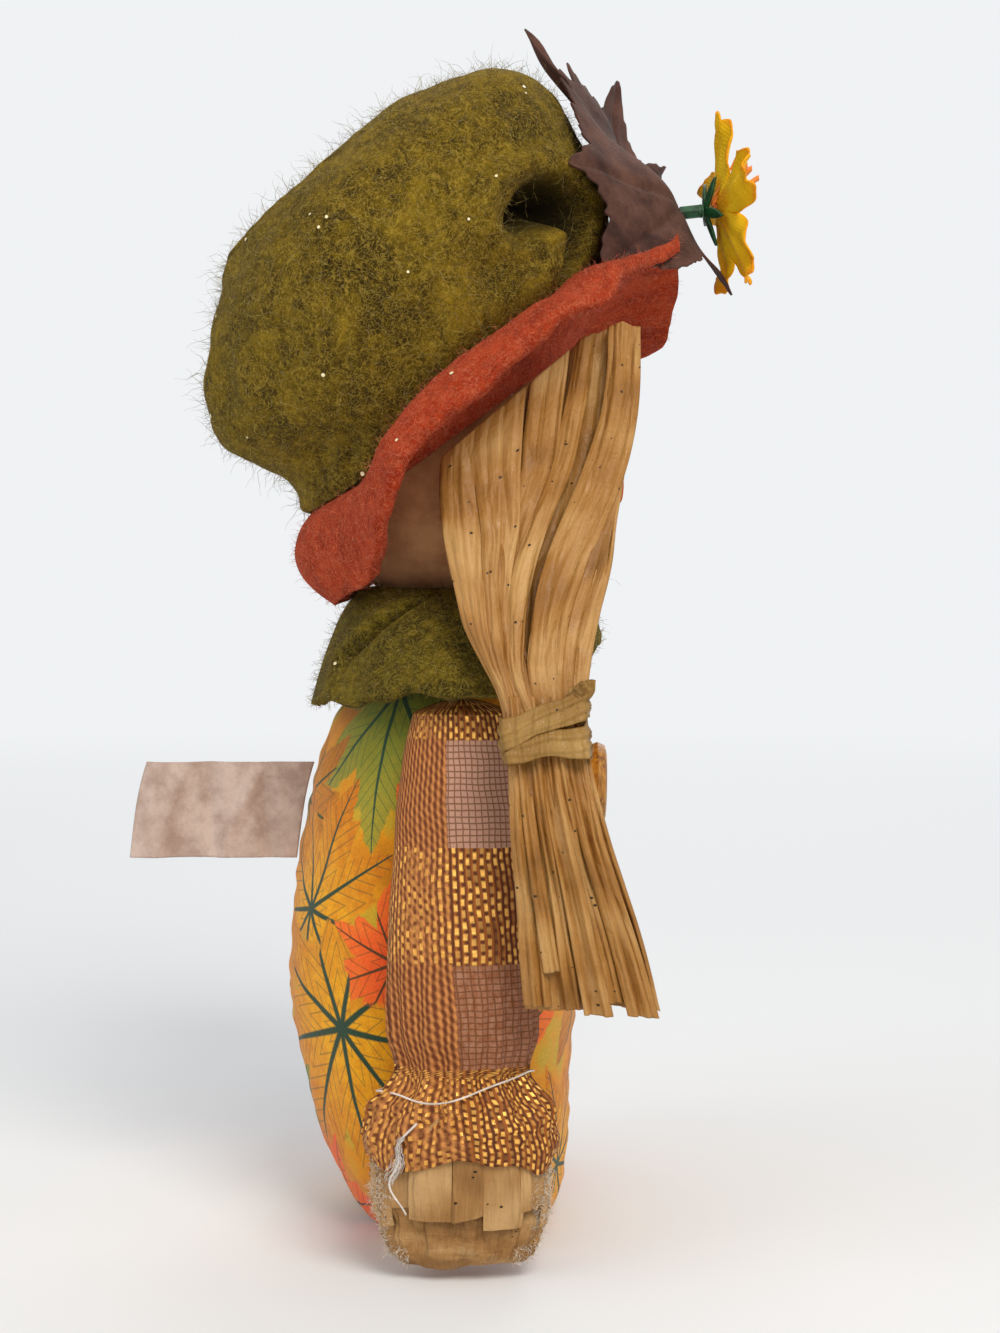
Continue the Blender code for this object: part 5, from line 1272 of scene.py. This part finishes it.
def calyx_mesh():
    """Five pointed moulded sepals from one small cup, pressed against the backs of the petals."""
    turns = full_turn(160)
    point = 1 - np.abs((turns * 5 / (2 * math.pi)) % 1 - 0.5) * 2
    reach = 1.3 + (SEPAL_LENGTH - 1.3) * point**1.6
    share = np.linspace(1, 0.04, 20)[:, None]
    radius = reach[None, :] * share
    height = FLOWER_STEM - 0.6 + (0.24 - 0.16 * np.sin(turns)) * radius
    height = height - 0.5 * share * (1 - share)
    sheet = np.stack([radius * np.sin(turns), radius * np.cos(turns), height], -1)
    under = (sheet - (0, 0, 0.5))[::-1]
    cup = [
        np.stack([wide * np.sin(turns), wide * np.cos(turns), np.full_like(turns, level)], -1)
        for wide, level in ((1.2, FLOWER_STEM - 1.4), (1.0, FLOWER_STEM - 2.2))
    ]
    points = np.concatenate([sheet[::-1], under[::-1], np.array(cup)])
    return face_out(grid_mesh("calyx", placed(FLOWER, points), closed=True, caps=(True, True)))


piece("moulded_sepals", calyx_mesh(), CALYX, "torso", ("flower_calyx",))


def stamens_mesh():
    """Moulded stamens in one tuft: each a bent stalk with a thicker end."""
    rng = np.random.default_rng(SEED + 91)
    share = np.linspace(0, 1, 16)[None, :, None]
    spread = rng.normal(size=(9, 1, 3)) * (0.20, 0.16, 0.05)
    heading = units(np.array((0, 0.80, 0.85)) + spread)
    length = rng.uniform(8.5, 11.0, (9, 1, 1))
    root = np.array((0, 0, FLOWER_STEM + 0.4)) + rng.normal(size=(9, 1, 3)) * (0.7, 0.7, 0)
    path = root + heading * length * share + spread * (2.4 * share**2)
    thick = 0.30 + 0.22 * np.clip((share[0, :, 0] - 0.72) / 0.1, 0, 1)
    parts = []
    for stalk in path:
        turns = full_turn(8)
        ring = np.stack([np.cos(turns), np.sin(turns), 0 * turns], -1)
        points = stalk[:, None, :] + ring[None] * thick[:, None, None]
        parts.append(grid_mesh("stalk", placed(FLOWER, points), closed=True, caps=(True, True)))
    return face_out(joined("stamens", parts))


piece("moulded_stamens", stamens_mesh(), STAMEN, "torso", ("flower_stamens",))


# Hair

HAIR_FOOT, HAIR_TOP = 43.5, 154.0
TIE_HEIGHT = 89.3
HAIR_WIDTH, HAIR_SWEEP = 29.0, 21.5
# the front strips end lower under the brim
FRONT_DROP = 3.4
# height share, width share and forward share
HAIR_SHARES = (
    (0.00, 0.72, 1.00), (0.14, 0.60, 0.88), (0.26, 0.50, 0.77), (0.36, 0.42, 0.69),
    (0.46, 0.42, 0.65), (0.55, 0.58, 0.615), (0.67, 0.84, 0.605), (0.80, 0.99, 0.62),
    (1.00, 0.88, 0.72),
)
# height, and how far out the hair's inner face lies
HAIR_INNER = (
    (43.5, 49.8), (83.2, 49.2), (93.0, 45.6), (107.2, 38.3), (128.5, 30.8), (154.0, 27.2),
)
# Strips above the tie, from the back of the bunch to its front. Each has how far it stands out,
# then rows of height, back edge and front edge, the edges as shares of the bunch's own width.
STRIPS_ABOVE = (
    (1.0, ((84, 0.00, 0.22), (92, -0.08, 0.08), (97, -0.17, 0.00), (101, -0.20, 0.03),
           (111, -0.135, 0.14), (118, -0.09, 0.20), (127, -0.05, 0.20), (152, 0.00, 0.22))),
    (2.3, ((84, 0.12, 0.34), (97, -0.06, 0.20), (101, -0.01, 0.24), (111, 0.10, 0.32),
           (118, 0.155, 0.40), (127, 0.155, 0.42), (136, 0.14, 0.43), (152, 0.14, 0.42))),
    (1.9, ((84, 0.28, 0.50), (97, 0.08, 0.29), (101, 0.12, 0.35), (111, 0.20, 0.47),
           (118, 0.27, 0.52), (127, 0.40, 0.61), (136, 0.43, 0.64), (152, 0.42, 0.66))),
    (2.6, ((84, 0.40, 0.56), (97, 0.14, 0.29), (101, 0.19, 0.34), (111, 0.32, 0.48),
           (118, 0.44, 0.57), (127, 0.58, 0.70), (136, 0.64, 0.76), (152, 0.69, 0.80))),
    (2.8, ((84, 0.54, 0.84), (97, 0.35, 0.78), (101, 0.41, 0.78), (111, 0.54, 0.86),
           (118, 0.64, 0.93), (127, 0.76, 1.01), (136, 0.845, 1.05), (152, 0.87, 1.06))),
    (2.1, ((84, 0.72, 0.94), (97, 0.68, 0.95), (101, 0.68, 0.95), (111, 0.76, 1.00),
           (118, 0.80, 1.00), (127, 0.86, 1.00), (136, 0.88, 1.03), (152, 0.88, 1.04))),
    (1.4, ((84, 0.84, 1.04), (97, 0.84, 1.08), (101, 0.80, 1.07), (111, 0.86, 1.06),
           (118, 0.90, 1.02), (127, 0.92, 1.01), (136, 0.92, 1.00), (152, 0.92, 1.00))),
    (0.2, ((84, 0.00, 0.36), (101, 0.00, 0.30), (118, 0.02, 0.34), (152, 0.04, 0.34))),
    (0.5, ((84, 0.30, 0.60), (101, 0.16, 0.36), (118, 0.26, 0.50), (152, 0.34, 0.64))),
    (0.1, ((84, 0.60, 0.98), (101, 0.62, 1.00), (118, 0.76, 1.00), (152, 0.84, 1.02))),
    (-0.5, ((84, 0.40, 0.70), (101, 0.26, 0.70), (118, 0.44, 0.84), (152, 0.58, 0.92))),
)
# Strips below the tie: how far each stands out, how much shorter it is cut, then its rows
STRIPS_BELOW = (
    (1.5, 1.6, ((44, 0.01, 0.22), (66, -0.01, 0.20), (93, 0.00, 0.22))),
    (2.7, 7.0, ((44, 0.20, 0.33), (66, 0.15, 0.28), (93, 0.12, 0.28))),
    (0.7, 1.0, ((44, 0.28, 0.48), (66, 0.28, 0.44), (93, 0.24, 0.42))),
    (2.9, 0.3, ((44, 0.45, 0.66), (66, 0.42, 0.62), (93, 0.38, 0.60))),
    (1.8, 2.2, ((44, 0.61, 0.78), (66, 0.58, 0.74), (93, 0.54, 0.72))),
    (2.7, 0.0, ((44, 0.77, 1.00), (66, 0.72, 0.96), (93, 0.68, 0.94))),
    (1.2, 1.4, ((44, 0.90, 1.03), (66, 0.86, 1.02), (93, 0.86, 1.03))),
    (0.1, 0.8, ((44, 0.02, 0.30), (66, 0.02, 0.32), (93, 0.04, 0.36))),
    (0.3, 2.0, ((44, 0.30, 0.62), (66, 0.30, 0.62), (93, 0.30, 0.64))),
    (0.1, 1.2, ((44, 0.62, 1.00), (66, 0.60, 0.98), (93, 0.60, 0.98))),
)


def hair_row(height):
    """Width, forward middle and inner distance of the bunch at heights."""
    rows = smooth_table(HAIR_SHARES, (height - HAIR_FOOT) / (HAIR_TOP - HAIR_FOOT))
    inner = smooth_table(HAIR_INNER, height)[:, 0]
    return rows[:, 0] * HAIR_WIDTH, rows[:, 1] * HAIR_SWEEP, inner


def brim_underside(y):
    """The height of the plane just under the brim, over a point this far back."""
    drop = 1.5 + (y - HAT_CENTRE[1]) * math.sin(math.radians(HAT_TILT))
    return HAT_CENTRE[2] - drop / math.cos(math.radians(HAT_TILT))


def paper_strip(side, number, rows, stand, foot, top, sharp, rng):
    """One paper strip with lengthwise folds that fade in and out, cut a little aslant at its foot."""
    heights = np.linspace(foot, top, 150)
    back, front = smooth_table(rows, heights).T
    width, ahead, inner = hair_row(heights)
    c = np.linspace(0, 1, 31)[None, :]
    along = np.stack([heights, heights * 0 + number * 5.7, heights * 0 + side * 3], -1)
    sway = lumps(along, 16.0, SEED)[:, None]
    share = back[:, None] + (front - back)[:, None] * c
    y = -ahead[:, None] + (0.5 - share) * width[:, None] + 0.35 * sway
    strip_width = np.abs(front - back)[:, None] * width[:, None]
    folds = np.zeros(share.shape)
    count = 3 if sharp < 1 else 2
    for k in range(count):
        at = (k + rng.uniform(0.25, 0.8)) / count
        at = at + 0.10 * lumps(along, 22.0, SEED + 3 * k + number)[:, None]
        deep = rng.choice((-1, 1), p=(0.4, 0.6)) * rng.uniform(0.4, 0.9) * sharp
        fade = np.clip(0.55 + 0.9 * lumps(along, 13.0, SEED + 7 * k + number)[:, None], 0.05, 1.2)
        before = rng.uniform(0.25, 0.5) / np.maximum(strip_width, 1.5)
        after = rng.uniform(1.2, 3.0) / np.maximum(strip_width, 1.5)
        slope = np.where(c < at, (at - c) / before, (c - at) / after)
        folds += deep * fade * np.maximum(1 - slope, 0)
    waist = (66, TIE_HEIGHT - 7, TIE_HEIGHT + 6, 104)
    squeeze = np.interp(heights, waist, (1, 0.55, 0.55, 1))[:, None]
    tilt = rng.uniform(-0.9, 0.9) * (c - 0.5)
    out = inner[:, None] + 0.5 + (stand + tilt) * squeeze + folds - 0.5 * (2 * c - 1) ** 4
    out = out + 0.25 * sway
    z = np.broadcast_to(heights[:, None], y.shape).copy()
    near_foot = bell(heights - foot, 3.0)[:, None]
    z += near_foot * rng.uniform(-1.6, 1.6) * (c - 0.5)
    if top > TIE_HEIGHT + 20:
        front_drop = FRONT_DROP * np.clip((share[-1] - 0.72) / 0.3, 0, 1)
        lift = np.minimum(brim_underside(y[-1]), HAIR_TOP) - front_drop - top
        z += lift[None, :] * (((heights - foot) / (top - foot)) ** 4)[:, None]
    points = np.stack([side * out, y, z], -1)
    points[..., 0] += side * lumps(points * (1, 1, 0.35), 2.6, SEED + number) * 0.13
    own = float(strip_width.mean())
    return grid_mesh("strip", points, span=(own, top - foot), start=(number * 13.0, side * 37.0))


for name, side in SIDES:
    rng = np.random.default_rng(SEED + (1 if side > 0 else 0))
    strips = []
    for stand, rows in STRIPS_ABOVE:
        edges = rows[-1]
        width, ahead, inner = hair_row(np.array([142.0]))
        y = -ahead[0] + (0.5 - (edges[1] + edges[2]) / 2) * width[0]
        top = min(brim_underside(y), HAIR_TOP)
        top -= FRONT_DROP * max(edges[2] - 0.72, 0) / 0.3
        strips.append(paper_strip(side, len(strips), rows, stand, 84.0, top, 0.95, rng))
    for stand, short, rows in STRIPS_BELOW:
        foot = HAIR_FOOT + 0.3 + short
        strips.append(paper_strip(side, len(strips), rows, stand, foot, 92.5, 2.3, rng))
    for number in range(6):
        mesh = joined(f"{name}_strip_{number + 1}", strips[number::6])
        mesh.shade_smooth()
        made = piece(
            f"{name}_raffia_strips_{number + 1}", mesh, HAIR_RAFFIA, f"{name}_hair",
            (f"{name}_hair_strip_{number + 1}",),
        )
        thicken(made, 0.22)


def tie_round(side, turns, height, grow):
    """Points round the waist of the bunch: a rounded rectangle of its own width and thickness."""
    rows = hair_row(np.atleast_1d(height).ravel())
    width, ahead, inner = (row.reshape(np.shape(height)) for row in rows)
    s, c = np.sin(turns), np.cos(turns)
    square = np.maximum(np.abs(s), np.abs(c)) ** 0.75
    out = inner + 1.9 + (2.3 + grow) / square * s
    y = -ahead + (width / 2 + 0.1 + grow) / square * c
    return xyz(side * out, y, height)


def tie_mesh(side):
    """Two flat turns of paper strip, the upper one rising to the knot at the front."""
    turns = full_turn(160)[None, :]
    up = np.linspace(-2.7, 2.7, 17)[:, None]
    parts = []
    for number, (middle, rise, grow) in enumerate(((85.6, 0.6, 0.5), (89.4, 3.0, 0.9))):
        height = middle - rise * np.cos(turns) + up * (1 - 0.25 * np.sin(turns) ** 2)
        height = height + 0.25 * np.sin(turns * 5 + number)
        swell = 0.45 * np.maximum(1 - np.abs(up - 0.9 + 0.5 * np.sin(turns * 2)) / 0.7, 0)
        swell = swell + 0.40 * np.maximum(1 - np.abs(up + 1.2 - 0.5 * np.sin(turns * 3)) / 0.5, 0)
        points = tie_round(side, turns, height, grow + swell)
        points += lumps(points, 2.6, SEED + number)[..., None] * 0.10
        parts.append(grid_mesh("turn", points, closed=True, span=(44, 5.4), start=(number * 50, 9)))
    # the knot: both ends of the strip pinched through the upper turn, each a short folded tab with
    # its own rise in radians, length and half width
    across = np.linspace(-1, 1, 13)[:, None]
    along = np.linspace(0, 1, 26)[None, :]
    root = tie_round(side, np.array([2.55]), np.array([92.6]), 1.0)[0] + (0, 1.6, 0)
    tabs = ((0.62, 4.0, 1.5), (0.20, 2.8, 1.2), (1.10, 2.6, 1.0))
    for number, (rise, length, half) in enumerate(tabs):
        heading = np.array((0.25 * side, -math.cos(rise), math.sin(rise)))
        aslant = np.array((0.0, math.sin(rise), math.cos(rise)))
        width = half * np.sqrt(1.05 - along**3)
        ridge = side * (0.5 - 0.9 * np.abs(across + 0.2)) * 0.7
        points = (root + heading * ((along - 0.15) * length + 0.4 * across * along)[..., None]
                  + aslant * (across * width)[..., None])
        points[..., 0] += ridge + side * (0.6 * number - 0.3)
        parts.append(grid_mesh("knot", points, span=(4, 6), start=(number * 9 + 120, 2)))
    mesh = joined("tie", parts)
    mesh.shade_smooth()
    return mesh


for name, side in SIDES:
    tie = piece(f"{name}_raffia_tie", tie_mesh(side), TIE_RAFFIA, f"{name}_hair",
                (f"{name}_hair_tie",))
    thicken(tie, 0.3)


# Arms

# height, half thickness and half width of the sleeve's outside
SLEEVE_ROWS = (
    (20.0, 6.9, 14.8), (24.0, 7.2, 15.4), (28.0, 6.6, 13.8), (32.0, 5.4, 10.6),
    (39.0, 5.76, 11.8), (49.6, 5.52, 11.7), (61.2, 4.8, 11.2), (74.1, 4.08, 10.4),
    (82.3, 3.78, 9.3), (87.0, 3.45, 8.4), (90.5, 2.9, 7.6),
)
# height, half thickness and half width of the raffia hand below the hem, and of its core above
HAND_ROWS = (
    (1.2, 1.4, 5.5), (1.7, 2.6, 8.6), (3.0, 3.8, 10.9), (5.5, 4.7, 12.3), (9.0, 5.3, 13.2),
    (17.6, 5.7, 13.6), (24.0, 5.6, 13.0), (30.0, 4.2, 9.2), (40.0, 4.2, 9.6), (60.0, 3.6, 9.2),
    (78.0, 2.8, 7.6), (84.0, 2.0, 5.0),
)
ARM_Y = -1.4
ARM_HINGE = 83.2


def arm_middle(heights, thick):
    """How far out the arm's middle lies, hanging against the body."""
    low = np.maximum(np.minimum(heights, ARM_HINGE), 20.0)
    widest = [max(body_row(np.linspace(h, 90.5, 5))[0]) for h in low]
    return np.array(widest) + 1.2 + thick


def arm_round(side, heights, turns, thick, wide):
    """Points round the arm at heights, from the back round its outer face."""
    sleeve_thick = smooth_table(SLEEVE_ROWS, np.clip(heights, 20.0, 90.5))[:, 0]
    middle = arm_middle(heights, sleeve_thick)[:, None]
    x = side * (middle + thick * np.sin(turns))
    y = ARM_Y + wide * np.cos(turns)
    points = xyz(x, y, heights[:, None])
    centre = xyz(side * middle, np.full_like(y, ARM_Y), heights[:, None])
    return points, units(points - centre)


def sleeve_mesh(side):
    """The ribbon sleeve: soft puckers above, and a cuff ruffled by its thread."""
    heights = np.concatenate([np.linspace(20, 88.5, 280), np.linspace(88.7, 91.3, 12)])
    thick, wide = smooth_table(SLEEVE_ROWS, np.minimum(heights, 90.5)).T
    close = np.clip((91.3 - heights) / 2.2, 0.03, 1) ** 0.5
    turns = full_turn(320)
    points, outward = arm_round(
        side, heights, turns, (thick * close)[:, None], (wide * close)[:, None]
    )
    draw = lumps(points, 9.0, SEED + side) * 0.45
    gathered = bell(heights - 29.0, 8.0)[:, None]
    draw += 0.6 * gathered * np.sin(turns * 15 + np.sin(turns * 4) * 1.5)[None, :]
    # the cloth rolls and knots up in the cuff
    cuff = np.clip((33.5 - heights) / 4.0, 0, 1)[:, None]
    draw += cuff * (lumps(points, 3.4, SEED + 8) * 1.0 + lumps(points, 1.4, SEED + 11) * 0.6)
    # long slack pleats run up from the thread
    pleats = bell(heights - 41.0, 9.0)[:, None]
    draw += 0.3 * pleats * np.sin(turns * 19 + 1.6 * np.sin(turns * 3) + side)[None, :]
    # the hem lies over the raffia and never sinks into it
    near_hem = np.clip((26.0 - heights) / 4.0, 0, 1)[:, None]
    draw = np.maximum(draw, -0.9 + near_hem * 1.3)
    points += outward * draw[..., None]
    # the hem hangs lower here and there
    hem = np.clip((26.0 - heights) / 6.0, 0, 1)[:, None] ** 1.3
    low_spot = bell(wrapped(turns - 0.85), 0.28) + bell(wrapped(turns - 2.45), 0.30)
    points[..., 2] += hem * (0.1 - 2.4 * low_spot[None, :] + 0.5 * np.sin(turns * 9)[None, :])
    return grid_mesh("sleeve", points, closed=True, span=(60, 71), caps=(False, True))


def hand_mesh(side):
    """The hand: a crumpled bundle of raffia inside, and separate cut strips hanging over it."""
    rng = np.random.default_rng(SEED + 31 + side)
    heights = np.concatenate([np.linspace(1.2, 26, 120), np.linspace(27, 84, 30)])
    turns = full_turn(220)
    thick, wide = smooth_table(HAND_ROWS, heights).T
    points, outward = arm_round(side, heights, turns, thick[:, None] * 0.93, wide[:, None] * 0.96)
    shown = np.clip((26 - heights) / 4, 0, 1)[:, None]
    draw = 0.35 * shown * np.sign(np.sin(turns * 17 + np.sin(turns * 3) * 2))[None, :]
    draw = draw * np.clip((heights - 2) / 5, 0.2, 1)[:, None]
    draw += shown * (lumps(points, 3.4, SEED + 12) * 0.65 + lumps(points, 1.4, SEED + 13) * 0.25)
    points += outward * draw[..., None]
    points[..., 2] += bell(heights - 1.2, 3.0)[:, None] * (0.8 + lumps(points, 4.0, SEED + 14) * 0.8)
    points[..., 2] = np.maximum(points[..., 2], 0.3)
    core = grid_mesh("core", points, closed=True, span=(62, 82), caps=(True, True))
    parts = [face_out(core)]
    place = 0.0
    while place < 2 * math.pi - 0.1:
        own = rng.uniform(1.6, 5.2)
        spread = own / 9.6
        foot = rng.uniform(8.6, 12.6)
        rows = np.linspace(foot, 27.0, 60)
        c = np.linspace(0, 1, 15)[None, :]
        thick, wide = smooth_table(HAND_ROWS, rows).T
        around = place + spread * (c + 0.10 * rng.uniform(-1, 1) * (27 - rows[:, None]) / 16)
        stand = rng.uniform(0.1, 1.1)
        points, outward = arm_round(side, rows, around, (thick + stand)[:, None],
                                    (wide + stand * 0.6)[:, None])
        ridge = rng.uniform(0.1, 0.4) * np.maximum(1 - np.abs(c - rng.uniform(0.25, 0.75)) / 0.3, 0)
        points += outward * (ridge - 0.25 * (2 * c - 1) ** 4)[..., None]
        points += outward * lumps(points, 2.2, SEED + 15)[..., None] * 0.14
        points[..., 2] += bell(rows - foot, 2.0)[:, None] * rng.uniform(-1.5, 1.5) * (c - 0.5)
        parts.append(grid_mesh("strip", points, span=(own, 27 - foot), start=(place * 21, side * 9)))
        place += spread * rng.uniform(0.86, 1.12)
    mesh = joined("hand", parts)
    mesh.shade_smooth()
    return mesh


def thread_mesh(side):
    """A slack sewing thread round the gathered wrist, with one frayed end hanging down the cuff."""
    share = np.linspace(0, 1, 150)
    turns = 0.55 + share * 1.94 * math.pi
    heights = 31.2 - 1.5 * np.cos(turns) - 1.2 * bell(turns - 1.25, 0.5) + 0.4 * np.sin(turns * 3)
    thick, wide = smooth_table(SLEEVE_ROWS, np.clip(heights, 20, 90)).T
    middle = arm_middle(heights, thick)
    proud = 1.0 + 0.25 * np.sin(turns * 6)
    run = np.stack([side * (middle + (thick + proud) * np.sin(turns)),
                    ARM_Y + (wide + proud) * np.cos(turns), heights], -1)
    fall = np.linspace(0, 1, 40)
    heights = 26.5 - 14.5 * fall
    turns = 1.13 - 0.28 * np.sin(fall * 2.6) * (1 + 0.2 * np.sin(fall * 11))
    thick, wide = smooth_table(SLEEVE_ROWS, np.clip(heights, 20, 90)).T
    middle = arm_middle(heights, thick)
    loose = np.stack([side * (middle + (thick + 1.3) * np.sin(turns)),
                      ARM_Y + (wide + 1.2) * np.cos(turns), heights], -1)
    rng = np.random.default_rng(SEED + 51)
    frayed = loose[None, 6:26] + np.cumsum(rng.normal(size=(26, 20, 3)) * 0.13, axis=1)
    parts = [
        tubes("run", run[None], np.array([0.15]), 6, 1.0),
        tubes("fall", loose[None], np.array([0.2]), 6, 0.8),
        tubes("frayed", frayed, np.full(26, 0.07), 3, 0.5),
    ]
    mesh = joined("thread", parts)
    mesh.shade_smooth()
    return mesh


for name, side in SIDES:
    sleeve = piece(
        f"{name}_ribbon_sleeve", face_out(sleeve_mesh(side)), RIBBON, f"{name}_arm",
        (f"{name}_sleeve",),
    )
    thicken(sleeve, 0.5, -1.0)
    # ribbon 60 mm wide goes once round the arm
    hand = piece(f"{name}_raffia_hand", hand_mesh(side), HAND_RAFFIA, f"{name}_arm",
                 (f"{name}_arm_raffia",))
    piece(f"{name}_sewing_thread", thread_mesh(side), WHITE_THREAD, f"{name}_arm",
          (f"{name}_wrist_thread",))
    fuzz(f"{name}_hand_fray", hand, 4200, 1.5, FRAYED, f"{name}_arm", SEED + 21,
         lean=1.8, curl=0.8, thick=0.055,
         keep=lambda at: (at[:, 2] < 20) & (np.abs(at[:, 1] - ARM_Y) > 11.2 - 3 * (at[:, 2] < 6)))


# Tag


def tag_mesh():
    """A fold of plain satin ribbon sewn into the back seam, creased and a little curled."""
    along = np.linspace(0, 29.0, 90)[:, None]
    up = np.linspace(-8.4, 8.4, 50)[None, :]
    heights = 69.7 + up
    seam = body_row(np.linspace(61.3, 78.1, 50))
    start = (seam[2] + seam[1])[None, :]
    free = along / 29
    x = 0.8 * np.sin(free * 4 * math.pi) * free + 0.5 * np.sin(along / 6 + up / 5) * free
    for place, slant, depth in (
        (6.5, 0.25, 0.5), (11.0, -0.35, -0.6), (16.0, 0.2, 0.7), (23, -0.2, -0.4),
    ):
        x = x + depth * np.maximum(1 - np.abs(along - place - slant * up) / 2.2, 0)
    y = start + 0.6 + along * (29.2 / 29)
    points = xyz(x, y, heights)
    return grid_mesh("tag", points, span=(16.8, 29))


tag = piece("satin_ribbon_tag", tag_mesh(), TAG_RIBBON, "tag", ("back_tag",))
thicken(tag, 0.35)


# Loose fibres and glitter

# felt, how many fibres, how long they are, how far they lean and how far they rise
LOOSE_WOOL = (
    ("crown_loose_wool", crown, 6000, 2.2, OLIVE_FIBRE, "olive_felt", 1.6, 1.0, 0.035),
    ("crown_matted_wool", crown, 6000, 4.6, OLIVE_FIBRE, "olive_felt", 2.4, 0.35, 0.045),
    ("brim_loose_wool", brim, 5200, 1.5, ORANGE_FIBRE, "orange_felt", 1.8, 0.8, 0.035),
    ("collar_loose_wool", collar, 4600, 2.0, OLIVE_FIBRE, "olive_felt", 1.8, 0.7, 0.04),
)
for number, (name, made, count, length, finish, slot, lean, rise, thick) in enumerate(LOOSE_WOOL):
    fuzz(name, made, count, length, finish, "torso", SEED + 61 + number, lean=lean, curl=0.35,
         thick=thick, rise=rise,
         keep=lambda at: np.linalg.norm(at - FOLD_MIDDLE, axis=1) > 8.5)


def specks(name, made, count, seed):
    """Flakes of glitter, about half a millimetre across, that have stuck to the felt."""
    spots, normals, rng = surface_samples(made, count, seed)
    first = units(np.cross(normals, rng.normal(size=(count, 3))))
    second = np.cross(normals, first)
    points, faces = [], []
    for spot, normal, a, b in zip(spots, normals, first, second):
        half = rng.uniform(0.20, 0.40)
        base = len(points)
        for lift in (0.05, 0.13):
            for k in range(6):
                angle = math.pi * k / 3
                points.append(spot + normal * (lift + 0.12) +
                              (a * math.cos(angle) + b * math.sin(angle)) * half)
        faces.append([base + k for k in range(5, -1, -1)])
        faces.append([base + 6 + k for k in range(6)])
        faces += [[base + k, base + (k + 1) % 6, base + 6 + (k + 1) % 6, base + 6 + k]
                  for k in range(6)]
    mesh = bpy.data.meshes.new(name)
    mesh.from_pydata((np.array(points) * MM).tolist(), [], faces)
    return piece(name, face_out(mesh), GLITTER, "torso")


specks("crown_glitter", crown, 110, SEED + 71)
specks("brim_glitter", brim, 16, SEED + 72)
specks("collar_glitter", collar, 8, SEED + 73)


def chin_fibres():
    """Curly brown fibres that have worked loose under the chin."""
    rng = np.random.default_rng(SEED + 81)
    count, steps = 70, 26
    side = rng.choice((-1.0, 1.0), count)
    spots = np.stack([side * rng.uniform(10, 21, count), np.zeros(count),
                      rng.uniform(107, 121, count)], -1)
    inside = HEAD_RADIUS**2 - spots[:, 0] ** 2 - (spots[:, 2] - HEAD_CENTRE[2]) ** 2
    spots[:, 1] = HEAD_CENTRE[1] - np.sqrt(np.maximum(inside, 9.0))
    heading = units(spots - HEAD_CENTRE + rng.normal(size=(count, 3)) * 8)
    spin = units(rng.normal(size=(count, 3)))
    path = [spots]
    reach = rng.uniform(4, 11, count)[:, None] / steps
    for k in range(steps):
        heading = units(heading + np.cross(spin, heading) * 0.35 + rng.normal(size=(count, 3)) * 0.12)
        path.append(path[-1] + heading * reach)
    return tubes("chin", np.stack(path, axis=1), np.full(count, 0.045), 4)


piece("chin_loose_fibres", chin_fibres(), BROWN_FIBRE, "torso")


# CAD nodes that keep their own form

KEPT = (
    (WADDING, ("pellet_bag", "body_stuffing", "head_core")),
    (BEAD, ("right_eye", "left_eye")),
    (CALYX, ("flower_stalk",)),
    (WHITE_THREAD, ("right_shoulder_stitch", "left_shoulder_stitch", "button_thread")),
    (WOOD, ("chest_button",)),
)
for finish, nodes in KEPT:
    for node in nodes:
        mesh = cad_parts[node].data
        mesh.materials.clear()
        mesh.materials.append(finish)
